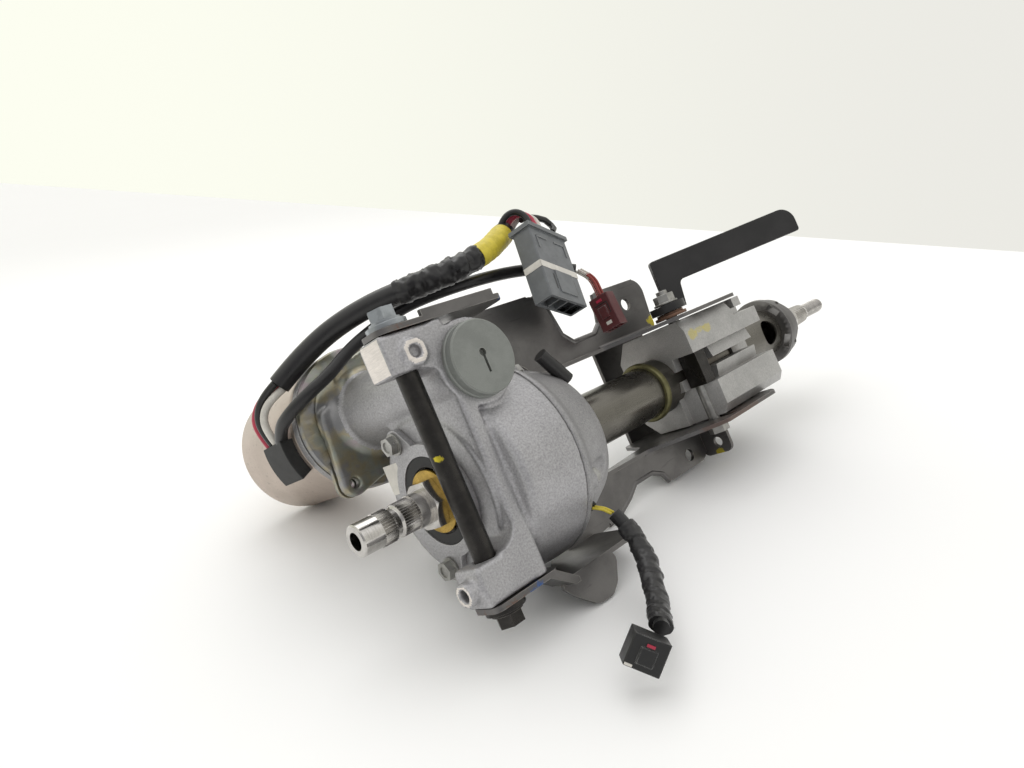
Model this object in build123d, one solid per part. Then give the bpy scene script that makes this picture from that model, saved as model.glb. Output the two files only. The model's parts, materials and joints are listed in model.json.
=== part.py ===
from build123d import *
import math
import os

os.makedirs("parts", exist_ok=True)

# All sizes in mm. Column frame: X along the steering shaft from the output end to the wheel end,
# Y along the tilt pivot rod towards the lever, Z towards the worm end cap.

# Resting pose on the bench
bench_roll = 64.7

# Clearances that every fit below is derived from
running_gap = 0.05
body_gap = 0.3
tooth_backlash = 0.8
tip_relief = 0.05
through = 300.0

# Steering shaft line
column_length = 521.0
spline_radius = 9.4
spline_teeth = 36
spline_depth = 0.9
tip_radius = 8.9
tip_length = 12.0
tip_chamfer = 0.8
short_spline_end = 20.0
groove_end = 25.0
long_spline_end = 35.0
collar_radius = 9.9
nut_front = 43.0
nut_thickness = 7.5
nut_across_flats = 26.0
shaft_journal_radius = 12.5
output_shaft_end = 112.0
steering_shaft_radius = 9.6
steering_shaft_start = 114.0
torsion_bar_radius = 3.5
torsion_bar_end = 194.0
wheel_end_shoulder = 448.0
wheel_end_spline_start = 462.0
wheel_end_spline_end = 486.0
wheel_end_spline_radius = 9.3
wheel_thread_start = 490.0
wheel_thread_radius = 6.0

# Worm drive
worm_starts = 2
gear_module = 2.5
wheel_teeth = 41
worm_pitch_radius = 10.25
worm_x = 77.0
wheel_width = 11.0
worm_thread_length = 34.0
worm_sections_per_lead = 12
pressure_angle = 20.0
wheel_pitch_radius = gear_module * wheel_teeth / 2
worm_y = wheel_pitch_radius + worm_pitch_radius
worm_lead = math.pi * gear_module * worm_starts
worm_journal_radius = 7.5
worm_bearing_radius = 16.0
worm_bearing_width = 9.0
worm_bearing_z = 28.0
worm_shaft_end = -94.0
rotor_shaft_radius = 6.0

# Gear housing
cover_screw_angles = (25, 115, 205, 295)
front_face = 55.5
cover_thickness = 4.0
bell_wall = 5.0
wheel_clearance = 2.5
bell_radius = wheel_pitch_radius + 0.9 * gear_module + wheel_clearance + bell_wall
seam_x = 109.5
front_disc_radius = 46.0
worm_tube_radius = 24.0
worm_tube_bore = 15.5
worm_tube_top = 49.5
cap_radius = 20.3
cap_height = 8.0
shaft_bearing_radius = 21.0
shaft_bearing_start = 57.5
shaft_bearing_width = 9.0
roller_radius = 2.2
roller_count = 12
recess_radius = 26.0
rear_cover_end = 158.0
rear_neck_radius = 34.0
sensor_exit_x = 117.0
sensor_exit_angle = 130.8

# Tilt pivot
pivot_x = 41.0
pivot_z = 39.0
pivot_rod_radius = 6.0
pivot_bolt_radius = 4.0
lug_front = 26.5
lug_back = 59.5
lug_half_height = 10.5
lug_width = 21.0
top_lug_outer = 88.5
bottom_lug_outer = 53.5
tapped_hole_radius = 3.4

# Motor
motor_radius = 44.0
motor_end_z = -186.0
motor_can_front = -86.0
adapter_z = -72.0
adapter_thickness = 8.0
motor_wall = 2.5
motor_ring_lip = 2.0
motor_ring_bore = 36.0
grommet_height = 10.0
rotor_radius = 27.0
magnet_thickness = 6.0

# Column tubes
lower_tube_radius = 18.5
upper_tube_radius = 20.0
tube_wall = 1.45
upper_tube_start = 250.0
upper_tube_end = 428.0
top_bearing_end = 436.0
collar_start = 413.0
lower_tube_end = 305.0
collar_flange_radius = 28.0

# Tilt clamp
clamp_x = 274.0
clamp_z = 27.0
clamp_bolt_radius = 4.0
block_start = 262.0
block_end = 355.0
block_top = 38.0
block_bottom = 34.0
tilt_half_angle = 3.5

# Mounting bracket
sheet = 2.6
upper_wall_y = 39.0
lower_wall_y = 35.0
ear_hole_x = 266.0
upper_ear_hole_y = 64.0
lower_ear_hole_y = 55.0
upper_ear_y = 80.0
lower_ear_y = 63.7
bend_radius = 2.0
ear_hole_radius = 4.5
arm_sheet = 3.0
web_z = -43.4
wall_end = 330.0

# Harness
sleeve_radius = 7.0
power_wire_diameter = 5.0
tail_diameter = 4.2

# Tilt lever
lever_slope = 32.0
lever_reach = 122.0
lever_plate = 5.0
lever_offset = 9.0
lever_width = 19.5
lever_top = 84.5


def rod_x(radius, x0, x1, y=0.0, z=0.0):
    return Pos((x0 + x1) / 2, y, z) * Rot(0, 90, 0) * Cylinder(radius, x1 - x0)


def rod_y(radius, y0, y1, x=0.0, z=0.0):
    return Pos(x, (y0 + y1) / 2, z) * Rot(90, 0, 0) * Cylinder(radius, y1 - y0)


def rod_z(radius, z0, z1, x=0.0, y=0.0):
    return Pos(x, y, (z0 + z1) / 2) * Cylinder(radius, z1 - z0)


def block(x0, x1, y0, y1, z0, z1):
    return Pos((x0 + x1) / 2, (y0 + y1) / 2, (z0 + z1) / 2) * Box(x1 - x0, y1 - y0, z1 - z0)


def turned(points):
    """Solid of revolution about the X axis from (x, radius) pairs."""
    outline = make_face(Polyline(*[(x, r) for x, r in points], close=True))
    return revolve(outline, axis=Axis.X)


def tube_x(outer, inner, x0, x1):
    return turned([(x0, inner), (x0, outer), (x1, outer), (x1, inner)])


def closed_outline(points, corner):
    """Face inside a closed outline whose corners are rounded as far as their sides allow."""
    if corner == 0:
        return make_face(Polyline(*points, close=True))
    vectors = [Vector(*p) for p in points]
    radii = []
    for i, here in enumerate(vectors):
        first = here - vectors[i - 1]
        second = vectors[(i + 1) % len(vectors)] - here
        half_turn = math.radians(first.get_angle(second)) / 2
        radii.append(min(corner, 0.45 * min(first.length, second.length) / math.tan(half_turn)))
    return make_face(FilletPolyline(*points, radius=radii, close=True))


def plate_z(points, z0, z1, corner=0):
    """Plate with an outline in X and Y between two Z levels."""
    return Pos(0, 0, z0) * extrude(closed_outline(points, corner), z1 - z0)


def plate_y(points, y0, y1, corner=0):
    """Plate with an outline in X and Z between two Y levels."""
    outline = closed_outline([(x, 0, z) for x, z in points], corner)
    return Pos(0, y0, 0) * extrude(outline, y1 - y0, dir=(0, 1, 0))


def plate_x(points, x0, x1, corner=0):
    """Plate with an outline in Y and Z between two X levels."""
    outline = closed_outline([(0, y, z) for y, z in points], corner)
    return Pos(x0, 0, 0) * extrude(outline, x1 - x0, dir=(1, 0, 0))


def hexagon(across_flats, height):
    return extrude(RegularPolygon(across_flats / math.sqrt(3), 6), height)


def along_z(shape):
    """Turns a shape built along X so that it lies along the worm axis."""
    return Pos(worm_x, worm_y, 0) * Rot(0, -90, 0) * shape


def put(name, *shapes):
    """Rolls the shapes from the column frame into the resting pose and writes one node."""
    placed = [Rot(bench_roll, 0, 0) * shape for shape in shapes]
    if len(placed) == 1:
        export_step(placed[0], f"parts/{name}.step")
    else:
        export_step(Compound(children=placed), f"parts/{name}.step")


# Mounting bracket, pressed from one sheet
def tilt_slot():
    """Slot that the clamp bolt travels along when the column tilts."""
    reach = clamp_x - pivot_x
    drop = clamp_z - pivot_z
    middle = math.degrees(math.atan2(drop, reach))
    swing = CenterArc((0, 0), math.hypot(reach, drop), middle - tilt_half_angle, 2 * tilt_half_angle)
    slot = extrude(SlotArc(swing, 2 * (clamp_bolt_radius + 0.5)), through, both=True)
    return Pos(pivot_x, 0, pivot_z) * Rot(90, 0, 0) * slot


def bracket_side(side, wall_y, outline, ear):
    """One flank: flat flange, side wall with the tilt slot, and the rim of the mounting ear."""
    ear_start, ear_end, ear_y, rim_depth = ear
    flange = plate_z([(x, side * y) for x, y in outline], -sheet, 0, 12)
    top = [(160, 0), (222, 4), (252, 46), (258, 50), (322, 50), (wall_end, 42)]
    low = [(wall_end, web_z - sheet), (254, web_z - sheet), (236, -14), (160, -sheet)]
    inner = side * wall_y
    outer = side * (wall_y + sheet)
    wall = plate_y(top + low, min(inner, outer), max(inner, outer), 7)
    far = outer + side * bend_radius
    bend = block(222, 284, min(outer, far), max(outer, far), 0, bend_radius)
    wall += bend - rod_x(bend_radius, 220, 290, far, bend_radius)
    wall -= tilt_slot()
    low_y = min(side * (ear_y - sheet), side * ear_y)
    rim = block(ear_start + 9, ear_end - 9, low_y, low_y + sheet, -rim_depth, 0)
    return flange + wall + rim


def mounting_bracket():
    upper_inner = top_lug_outer + body_gap
    lower_inner = bottom_lug_outer + body_gap
    flank_y = upper_inner + arm_sheet - 0.8
    upper_line = [(112, 66), (112, flank_y), (182, flank_y), (190, 82), (194, 60), (202, 52.5), (224, 52.5)]
    upper_line += [(232, 58), (236, 70), (238, upper_ear_y), (292, upper_ear_y), (288, 52), (288, 39), (160, 39), (150, 50), (124, 65)]
    lower_line = [(112, 64.5), (112, 67), (150, 67), (176, 65), (192, 58), (203, 51), (222, 51)]
    lower_line += [(232, 56), (236, lower_ear_y), (288, lower_ear_y), (288, 35), (160, 35), (150, 50), (124, 65)]
    body = bracket_side(1, upper_wall_y, upper_line, (238, 292, upper_ear_y, 8))
    body += bracket_side(-1, lower_wall_y, lower_line, (236, 288, lower_ear_y, 10))
    body += block(261, wall_end - 7, -lower_wall_y - 1, upper_wall_y + 1, web_z - sheet, web_z)
    arm = [(28, 29), (28, 50), (110, 50), (118, 40), (124, 0), (124, -sheet), (96, -sheet), (58, 26)]
    body += plate_y(arm, upper_inner, upper_inner + arm_sheet, 7)
    body += block(56, 106, upper_inner, upper_inner + 6.5, 50 - sheet, 50)
    body += block(112, 176, upper_inner, upper_inner + arm_sheet, -8, 0)
    eye = [(28, 29), (28, 50), (74, 50), (74, 29)]
    body += plate_y(eye, -lower_inner - arm_sheet, -lower_inner, 5)
    step = [(66, -lower_inner), (70, -lower_inner), (84, -64.2), (84, -67), (80, -67), (66, -lower_inner - arm_sheet)]
    body += plate_z(step, 30, 50)
    arm_low = [(80, 30), (80, 42), (140, 42), (150, 38), (150, -sheet), (112, -sheet)]
    body += plate_y(arm_low, -67, -64.2, 6)
    shelf = [(74, -65), (84, -76), (96, -86), (108, -87), (115, -82), (124, -65)]
    body += plate_z(shelf, 42 - sheet, 42, 7)
    body += tab_plate()
    body -= rod_y(pivot_bolt_radius + 0.2, -through, through, pivot_x, pivot_z)
    body -= rod_z(ear_hole_radius, -9, 9, ear_hole_x, upper_ear_hole_y)
    body -= rod_z(ear_hole_radius, -9, 9, ear_hole_x, -lower_ear_hole_y)
    for side in (1, -1):
        body -= rod_z(3.0, -60, -30, 312, side * 18)
    return body


def tab_plate():
    """Small upright tab at the end of the lower flank."""
    tab = plate_x([(-41, -sheet), (-41, 23), (-63, 23), (-63.7, -sheet)], 285.4, 288, 5)
    return tab - rod_x(3.6, 280, 292, -54.5, 13)


def pivot_rod():
    length_top = top_lug_outer + body_gap
    length_low = bottom_lug_outer + body_gap
    rod = rod_y(pivot_rod_radius, -length_low, length_top, pivot_x, pivot_z)
    rod -= rod_y(4.0, length_top - 24, length_top + 1, pivot_x, pivot_z)
    rod -= rod_y(4.0, -length_low - 1, -length_low + 24, pivot_x, pivot_z)
    return rod


def pivot_bolt(side):
    """Flanged hex bolt that clamps a bracket arm on the end of the pivot rod."""
    head_seat = 3.0
    bolt = Cylinder(4.0, 22 + arm_sheet, align=(Align.CENTER, Align.CENTER, Align.MAX))
    bolt = Pos(0, 0, head_seat) * bolt
    bolt += Pos(0, 0, head_seat) * Cylinder(8.5, 1.6, align=(Align.CENTER, Align.CENTER, Align.MIN))
    bolt += Pos(0, 0, head_seat + 1.6) * hexagon(13, 6.4)
    bolt -= Pos(0, 0, head_seat + 7.2) * Cylinder(4.2, 2, align=(Align.CENTER, Align.CENTER, Align.MIN))
    outer = side * ((top_lug_outer if side > 0 else bottom_lug_outer) + body_gap + arm_sheet)
    return Pos(pivot_x, outer, pivot_z) * Rot(-90 * side, 0, 0) * bolt


def pivot_washer(side):
    outer = (top_lug_outer if side > 0 else bottom_lug_outer) + body_gap + arm_sheet
    y0 = min(side * outer, side * (outer + 3.0))
    return rod_y(11, y0, y0 + 3, pivot_x, pivot_z) - rod_y(4.0, y0 - 1, y0 + 4, pivot_x, pivot_z)


# Gear housing casting
def gear_housing():
    shell = [(front_face, 0), (front_face, front_disc_radius), (61, 47), (63.5, 42), (66.5, 42)]
    shell += [(69, bell_radius - 4), (72, bell_radius - 1.5), (103, bell_radius), (seam_x, bell_radius), (seam_x, 0)]
    body = turned(shell)
    body += rod_z(worm_tube_radius, -64, worm_tube_top, worm_x, worm_y)
    body += plate_z([(58, 38), (96, 38), (100, 62), (54, 70)], -24, 30)
    body += lugs_and_yoke()
    body += adapter_pad()
    cavity_radius = bell_radius - bell_wall
    cavity = [(67.5, 0), (67.5, 24), (70.5, cavity_radius - 1.7), (73, cavity_radius - 0.5), (seam_x, cavity_radius), (seam_x, 0)]
    body -= turned(cavity)
    body -= rod_z(worm_tube_bore, adapter_z - 1, worm_tube_top + 2, worm_x, worm_y)
    seat = worm_bearing_z + worm_bearing_width
    body -= rod_z(worm_bearing_radius, worm_bearing_z, worm_tube_top + 2, worm_x, worm_y)
    body -= rod_z(worm_bearing_radius, -seat, -worm_bearing_z, worm_x, worm_y)
    body -= rod_x(shaft_bearing_radius, shaft_bearing_start, 68)
    body -= rod_x(18.5, front_face - 1, 60)
    body -= tapped_holes()
    body -= rod_y(pivot_rod_radius + running_gap, -through, through, pivot_x, pivot_z)
    for y, z in cover_bolt_places():
        body -= rod_x(3.0, front_face - 1, front_face + 9, y, z)
    return body


def lug(side):
    outer = side * (top_lug_outer if side > 0 else bottom_lug_outer)
    inner = outer - side * lug_width
    low = min(outer, inner)
    z0 = pivot_z - lug_half_height
    shape = block(lug_front, lug_back, low, low + lug_width, z0, z0 + 2 * lug_half_height)
    return fillet(shape.edges().filter_by(Axis.X), 2.5)


def lugs_and_yoke():
    """Two pivot lugs joined by a yoke web in front of the bell."""
    top = pivot_z + lug_half_height
    shape = lug(1) + lug(-1)
    web = block(57.5, 67.5, -bottom_lug_outer, top_lug_outer, 22, top)
    shape += fillet(web.edges().filter_by(Axis.Y).group_by(Axis.Z)[-1], 2.5)
    shape += corner_web(top_lug_outer - lug_width, 1, top)
    shape += corner_web(-bottom_lug_outer + lug_width, -1, top)
    shape += rod_z(7.5, top - 2, top + 2.5, 43, 76)
    shape += rod_x(6.5, 19.5, 30, -43, 41)
    return shape


def corner_web(edge, side, top):
    """Rounded inner corner where a lug runs into the yoke web."""
    gusset = plate_z([(lug_back - 16, edge), (lug_back, edge), (lug_back, edge - side * 16)], 30, top)
    round_cut = rod_z(14, 20, top + 1, lug_back - 15, edge - side * 15)
    return gusset - round_cut


def adapter_pad():
    """Flange at the motor end of the worm tube, with two ears for the motor screws."""
    pad = along_z(turned([(adapter_z, 0), (adapter_z, 37), (adapter_z + 2, 36.5), (-63, 27), (-59, worm_tube_radius), (-59, 0)]))
    pad += motor_ears(adapter_z, adapter_z + 7)
    return pad


def motor_ears(z0, z1):
    """Two opposite triangular ears around the motor screw holes."""
    ears = Part()
    for turn in (50, 230):
        a = math.radians(turn)
        tip = (worm_x + 48 * math.cos(a), worm_y + 48 * math.sin(a))
        left = (worm_x + 30 * math.cos(a + 1.1), worm_y + 30 * math.sin(a + 1.1))
        right = (worm_x + 30 * math.cos(a - 1.1), worm_y + 30 * math.sin(a - 1.1))
        ears += make_hull_ear(tip, left, right, z0, z1)
    return ears


def make_hull_ear(tip, left, right, z0, z1):
    rounds = [Pos(*tip) * Circle(8), Pos(*left) * Circle(6), Pos(*right) * Circle(6)]
    outline = make_hull([edge for circle in rounds for edge in circle.edges()])
    ear = Pos(0, 0, z0) * extrude(outline, z1 - z0)
    return ear - rod_z(3.3, z0 - 1, z1 + 1, *tip)


def tapped_holes():
    """Threads for the brackets of the vehicle: one in each lug, open on one side only."""
    top = pivot_z + lug_half_height
    holes = rod_z(tapped_hole_radius, top - 1.5, top + 4, 43, 76)
    holes += rod_x(tapped_hole_radius, 18, 33, -43, 41)
    return holes


def cover_bolt_places():
    radius = 40.0
    return [(radius * math.cos(math.radians(a)), radius * math.sin(math.radians(a))) for a in (-22, 195)]


def front_cover():
    x0 = front_face - cover_thickness
    body = rod_x(33, x0, front_face)
    for y, z in cover_bolt_places():
        rounds = [Circle(20), Pos(y, z) * Circle(8)]
        outline = make_hull([edge for circle in rounds for edge in circle.edges()])
        body += Pos(x0, 0, 0) * extrude(Plane.YZ * outline, cover_thickness)
    body -= rod_x(recess_radius, x0 - 1, x0 + 2.5)
    body -= rod_x(19.2, x0 - 1, front_face + 1)
    for y, z in cover_bolt_places():
        body -= rod_x(3.3, x0 - 1, front_face + 1, y, z)
    return body


def cover_bolt(y, z):
    x0 = front_face - cover_thickness
    bolt = rod_x(3.0, x0 - 1, front_face + 8, y, z)
    bolt += rod_x(6.6, x0 - 1.4, x0, y, z)
    bolt += Pos(x0 - 1.4, y, z) * Rot(0, -90, 0) * hexagon(10, 4.6)
    bolt -= rod_x(3.2, x0 - 7, x0 - 5.2, y, z)
    return bolt


def worm_end_cap():
    """Screw-in cap over the worm bearing with a chamfered rim and a small adjusting slot."""
    z0 = worm_tube_top
    cap = turned([(z0 - 6, 0), (z0 - 6, worm_bearing_radius), (z0, worm_bearing_radius), (z0, cap_radius + 0.6),
                  (z0 + 2, cap_radius + 0.6), (z0 + 2.6, cap_radius), (z0 + cap_height - 0.8, cap_radius),
                  (z0 + cap_height, cap_radius - 0.8), (z0 + cap_height, 0)])
    cap -= rod_x(2.2, z0 + cap_height - 2.5, z0 + cap_height + 1, 2, 0)
    cap -= block(z0 + cap_height - 2, z0 + cap_height + 1, -9, 0, -0.8, 0.8)
    return along_z(cap)


def rear_cover():
    outer = [(seam_x, 0), (seam_x, bell_radius), (113, bell_radius), (120, bell_radius - 5), (134, 51), (148, 45), (155, 38)]
    outer += [(rear_cover_end, rear_neck_radius), (rear_cover_end, 0)]
    inner = [(seam_x - 1, 0), (seam_x - 1, bell_radius - 7), (116, bell_radius - 9), (116, 42), (140, 42), (144, 30), (144, 0)]
    body = turned(outer)
    for a in cover_screw_angles:
        y, z = 53 * math.cos(math.radians(a)), 53 * math.sin(math.radians(a))
        body += rod_x(7.0, 112, 120, y, z)
    body -= turned(inner)
    body -= rod_x(lower_tube_radius, 140, 160)
    for a in cover_screw_angles:
        y, z = 53 * math.cos(math.radians(a)), 53 * math.sin(math.radians(a))
        body -= rod_x(2.5, 114, 121, y, z)
        body -= rod_x(7.2, 120, 140, y, z)
    return body - sensor_lead_through(3.0, 40, bell_radius + 1)


def sensor_lead_through(radius, inner, outer):
    """Radial cylinder where the sensor wires leave the rear cover."""
    return Pos(sensor_exit_x, 0, 0) * Rot(sensor_exit_angle, 0, 0) * rod_y(radius, inner, outer)


def rear_cover_screw(a):
    y, z = 53 * math.cos(math.radians(a)), 53 * math.sin(math.radians(a))
    screw = rod_x(2.5, 114.5, 121, y, z) + rod_x(5.2, 120, 121.2, y, z)
    return screw + Pos(121.2, y, z) * Rot(0, 90, 0) * hexagon(8, 4)


# Bearings
def shaft_bearing():
    """Roller bearing along X: outer ring, inner ring and separate rollers."""
    start = shaft_bearing_start
    end = start + shaft_bearing_width
    pitch = (shaft_journal_radius + shaft_bearing_radius) / 2
    half = roller_radius + running_gap
    outer_ring = tube_x(shaft_bearing_radius, pitch + half, start, end)
    inner_ring = tube_x(pitch - half, shaft_journal_radius, start, end)
    rollers = []
    for i in range(roller_count):
        a = 2 * math.pi * i / roller_count
        rollers.append(rod_x(roller_radius, start + 2, end - 2, pitch * math.cos(a), pitch * math.sin(a)))
    return outer_ring, inner_ring, rollers


# Worm and wheel
def worm_section():
    """Cross-section of the worm across its axis, two starts, as points of the rack profile."""
    half_pitch = math.pi * gear_module / 4 - tooth_backlash / 4
    slope = math.tan(math.radians(pressure_angle))
    tip = worm_pitch_radius + gear_module
    root = worm_pitch_radius - 1.2 * gear_module
    points = []
    for start in range(worm_starts):
        centre = 2 * math.pi * start / worm_starts - math.pi / 2
        for radius in (root, worm_pitch_radius, tip):
            shift = half_pitch - (radius - worm_pitch_radius) * slope
            angle = 2 * math.pi * shift / worm_lead
            points.append((centre - angle, radius))
            points.append((centre + angle, radius))
        points.append((centre, tip))
        points.append((centre + math.pi / worm_starts, root))
    points.sort()
    return [(r * math.cos(a), r * math.sin(a)) for a, r in points]


def worm_thread():
    outline = make_face(Polyline(*worm_section(), close=True))
    steps = round(worm_sections_per_lead * worm_thread_length / worm_lead)
    sections = []
    for i in range(steps + 1):
        z = -worm_thread_length / 2 + worm_thread_length * i / steps
        sections.append(Pos(0, 0, z) * Rot(0, 0, 360 * z / worm_lead) * outline)
    return loft(sections, ruled=True)


def worm_shaft():
    root = worm_pitch_radius - 1.2 * gear_module
    journal_end = worm_bearing_z + worm_bearing_width + 1
    shaft = worm_thread()
    shaft += Cylinder(root - 0.1, 2 * worm_bearing_z)
    for side in (1, -1):
        neck = Cylinder(root + 0.9, worm_bearing_z - worm_thread_length / 2)
        shaft += Pos(0, 0, side * (worm_thread_length / 2 + worm_bearing_z) / 2) * neck
    shaft += Cylinder(worm_journal_radius, 2 * journal_end)
    shaft += Pos(0, 0, (worm_shaft_end - journal_end) / 2) * Cylinder(rotor_shaft_radius, -worm_shaft_end - journal_end)
    return Pos(worm_x, worm_y, 0) * shaft


def wheel_tooth_points(angle_offset):
    """Outline of the toothed rim with straight-flanked teeth on the pitch circle."""
    pitch_angle = 2 * math.pi / wheel_teeth
    half_tooth = (math.pi * gear_module / 2 - tooth_backlash / 2) / 2 / wheel_pitch_radius
    slope = math.tan(math.radians(pressure_angle))
    root_radius = wheel_pitch_radius - 1.25 * gear_module
    tip_radius_here = wheel_pitch_radius + 0.9 * gear_module
    root_half = (half_tooth * wheel_pitch_radius + 1.25 * gear_module * slope) / root_radius
    tip_half = (half_tooth * wheel_pitch_radius - 0.9 * gear_module * slope - tip_relief) / tip_radius_here
    points = []
    for i in range(wheel_teeth):
        centre = pitch_angle * (i + 0.5) + angle_offset
        points.append((centre - root_half, root_radius))
        points.append((centre - tip_half, tip_radius_here))
        points.append((centre + tip_half, tip_radius_here))
        points.append((centre + root_half, root_radius))
    return [(r * math.cos(a), r * math.sin(a)) for a, r in points]


def worm_wheel_ring():
    """Helical toothed nylon ring moulded on the steel hub."""
    lead_slope = worm_lead / (2 * math.pi * worm_pitch_radius)
    sections = []
    for end in (-1, 1):
        twist = end * wheel_width / 2 * lead_slope / wheel_pitch_radius
        outline = make_face(Polyline(*wheel_tooth_points(twist), close=True))
        sections.append(Plane.YZ.offset(worm_x + end * wheel_width / 2) * outline)
    ring = loft(sections, ruled=True)
    return ring - rod_x(43.0, worm_x - 20, worm_x + 20)


def worm_wheel_hub():
    x0 = worm_x - wheel_width / 2
    x1 = worm_x + wheel_width / 2
    hub = turned([(x0, shaft_journal_radius), (x0, 21), (x0 + 3, 21), (x0 + 3, 38), (x0, 38), (x0, 43), (x1, 43), (x1, 38),
                  (x1 - 3, 38), (x1 - 3, 21), (x1, 21), (x1, shaft_journal_radius)])
    for i in range(6):
        a = 2 * math.pi * i / 6
        hub -= rod_x(4.5, x0 - 1, x1 + 1, 29.5 * math.cos(a), 29.5 * math.sin(a))
    return hub


# Shaft parts
def serrated(x0, outer0, x1, outer1):
    """Band of V-shaped serrations between two stations, straight or tapered."""
    sections = []
    for x, outer in ((x0, outer0), (x1, outer1)):
        points = []
        for i in range(2 * spline_teeth):
            a = math.pi * i / spline_teeth
            r = outer - spline_depth * (i % 2)
            points.append((r * math.cos(a), r * math.sin(a)))
        sections.append(Plane.YZ.offset(x) * make_face(Polyline(*points, close=True)))
    return loft(sections, ruled=True)


def output_shaft():
    shaft = turned([(-tip_chamfer, 0), (-tip_chamfer, tip_radius - tip_chamfer), (0, tip_radius), (tip_length, tip_radius),
                    (tip_length, spline_radius - spline_depth),
                    (short_spline_end, spline_radius - spline_depth), (short_spline_end + 1.2, 7.4), (groove_end - 1.2, 7.4),
                    (groove_end, spline_radius - spline_depth), (long_spline_end, spline_radius - spline_depth),
                    (long_spline_end, collar_radius), (nut_front, collar_radius), (nut_front, 10.5), (56, 10.5), (56, shaft_journal_radius),
                    (88, shaft_journal_radius), (88, 11.5), (output_shaft_end, 11.5), (output_shaft_end, 0)])
    shaft += serrated(tip_length, spline_radius, short_spline_end, spline_radius)
    shaft += serrated(groove_end, spline_radius, long_spline_end, spline_radius)
    shaft -= turned([(-2, 0), (-2, 5.0), (0, 5.0), (14, 4.6), (15, 4.2), (15, 0)])
    return shaft - rod_x(8.0, 82, output_shaft_end + 1)


def lock_nut():
    nut = Pos(nut_front, 0, 0) * Rot(0, 90, 0) * hexagon(nut_across_flats, nut_thickness)
    chamfer_cone = turned([(nut_front, 0), (nut_front, 13.4), (nut_front + 1.4, 15.4), (nut_front + nut_thickness, 15.4),
                           (nut_front + nut_thickness, 0)])
    return (nut & chamfer_cone) - rod_x(10.5, nut_front - 1, nut_front + 9)


def brass_ring():
    return tube_x(18.4, 10.5, nut_front + nut_thickness, nut_front + nut_thickness + 2.2)


def seal_ring():
    x0 = front_face - cover_thickness
    return tube_x(recess_radius, 19.4, x0 + 0.6, x0 + 2.5)


def torsion_bar():
    bar = rod_x(torsion_bar_radius, 84, torsion_bar_end - 4) + rod_x(8.0, 82, 92)
    return bar + rod_x(6.0, torsion_bar_end - 12, torsion_bar_end)


def steering_shaft():
    shaft = turned([(steering_shaft_start, 0), (steering_shaft_start, 14), (132, 14), (132, steering_shaft_radius),
                    (wheel_end_shoulder, steering_shaft_radius), (wheel_end_shoulder, wheel_end_spline_radius + 1.2),
                    (wheel_end_spline_start, wheel_end_spline_radius + 1.2), (wheel_end_spline_start, wheel_end_spline_radius - 1.1),
                    (wheel_end_spline_end, wheel_end_spline_radius - 2.2), (wheel_thread_start, wheel_thread_radius),
                    (column_length - 1, wheel_thread_radius), (column_length, wheel_thread_radius - 1), (column_length, 0)])
    shaft += serrated(wheel_end_spline_start, wheel_end_spline_radius, wheel_end_spline_end, wheel_end_spline_radius - 1.1)
    shaft -= rod_x(6.0, steering_shaft_start - 1, torsion_bar_end)
    return shaft


# Column tubes and clamp
def lower_tube():
    return tube_x(lower_tube_radius, lower_tube_radius - 2, 142, lower_tube_end)


def tolerance_ring():
    x0 = upper_tube_start - 5
    return turned([(x0, lower_tube_radius), (x0, 20.6), (x0 + 1, 21.6), (upper_tube_start - 1, 21.6),
                   (upper_tube_start, 20.6), (upper_tube_start, lower_tube_radius)])


def upper_tube():
    tube = tube_x(upper_tube_radius, upper_tube_radius - tube_wall, upper_tube_start, upper_tube_end)
    return tube - rod_z(10.2, 5, 30, 396, 0)


def clamp_block():
    """Cast block clamped round the upper tube, split on the side of the clamp bolt."""
    outline = [(-block_bottom, -14), (-24, -24), (24, -24), (block_top, -14), (block_top, 37), (30, 41), (14, 41), (14, 22), (-10, 22), (-10, 41),
               (-28, 41), (-block_bottom, 37)]
    body = plate_x(outline, block_start, block_end)
    body -= rod_x(upper_tube_radius, block_start - 1, block_end + 1)
    body -= block(block_start - 1, 334, -2.5, 5.0, 0, 45)
    body += plate_x([(-10, 20.6), (-10, 33), (-1, 35), (-1, 20.6)], 290, 344)
    body += plate_x([(5, 20.9), (5, 35), (14, 33), (14, 20.9)], 290, 344)
    body -= rod_x(upper_tube_radius, block_start - 1, block_end + 1)
    body -= plate_y([(block_start - 1, 42), (block_start - 1, 14), (block_start + 5, 14), (block_start + 14, 42)], -60, -10)
    body -= block(325, block_end + 1, 26, 60, 26, 60)
    body += block(331, 341, 31, block_top, 24, 40)
    body -= rod_y(clamp_bolt_radius + 0.2, -60, 60, clamp_x, clamp_z)
    for x in (300, 318, 336):
        body -= block(x - 6, x + 6, -block_bottom - 1, -block_bottom + 4, -8, 10)
    return body


def stopper_plate():
    """Black spacer on the clamp bolt between the two cheeks of the block."""
    spacer = block(clamp_x - 5.5, clamp_x + 5.5, -9.9, 13.9, 22.2, 37)
    return spacer - rod_y(clamp_bolt_radius, -20, 20, clamp_x, clamp_z)


def clamp_bolt():
    head = -(lower_wall_y + sheet + body_gap)
    bolt = rod_y(clamp_bolt_radius, head, 62, clamp_x, clamp_z)
    bolt += rod_y(9.5, head - 2.0, head, clamp_x, clamp_z)
    return bolt + Pos(clamp_x, head - 2.0, clamp_z) * Rot(90, 0, 0) * hexagon(13, 5.5)


def clamp_washers():
    y0 = upper_wall_y + sheet + body_gap
    washer = rod_y(11.5, y0, y0 + 2.4, clamp_x, clamp_z) - rod_y(clamp_bolt_radius, 0, 80, clamp_x, clamp_z)
    cam = rod_y(9.5, y0 + 2.4, y0 + 4.2, clamp_x, clamp_z) - rod_y(clamp_bolt_radius, 0, 80, clamp_x, clamp_z)
    return washer + cam


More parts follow.
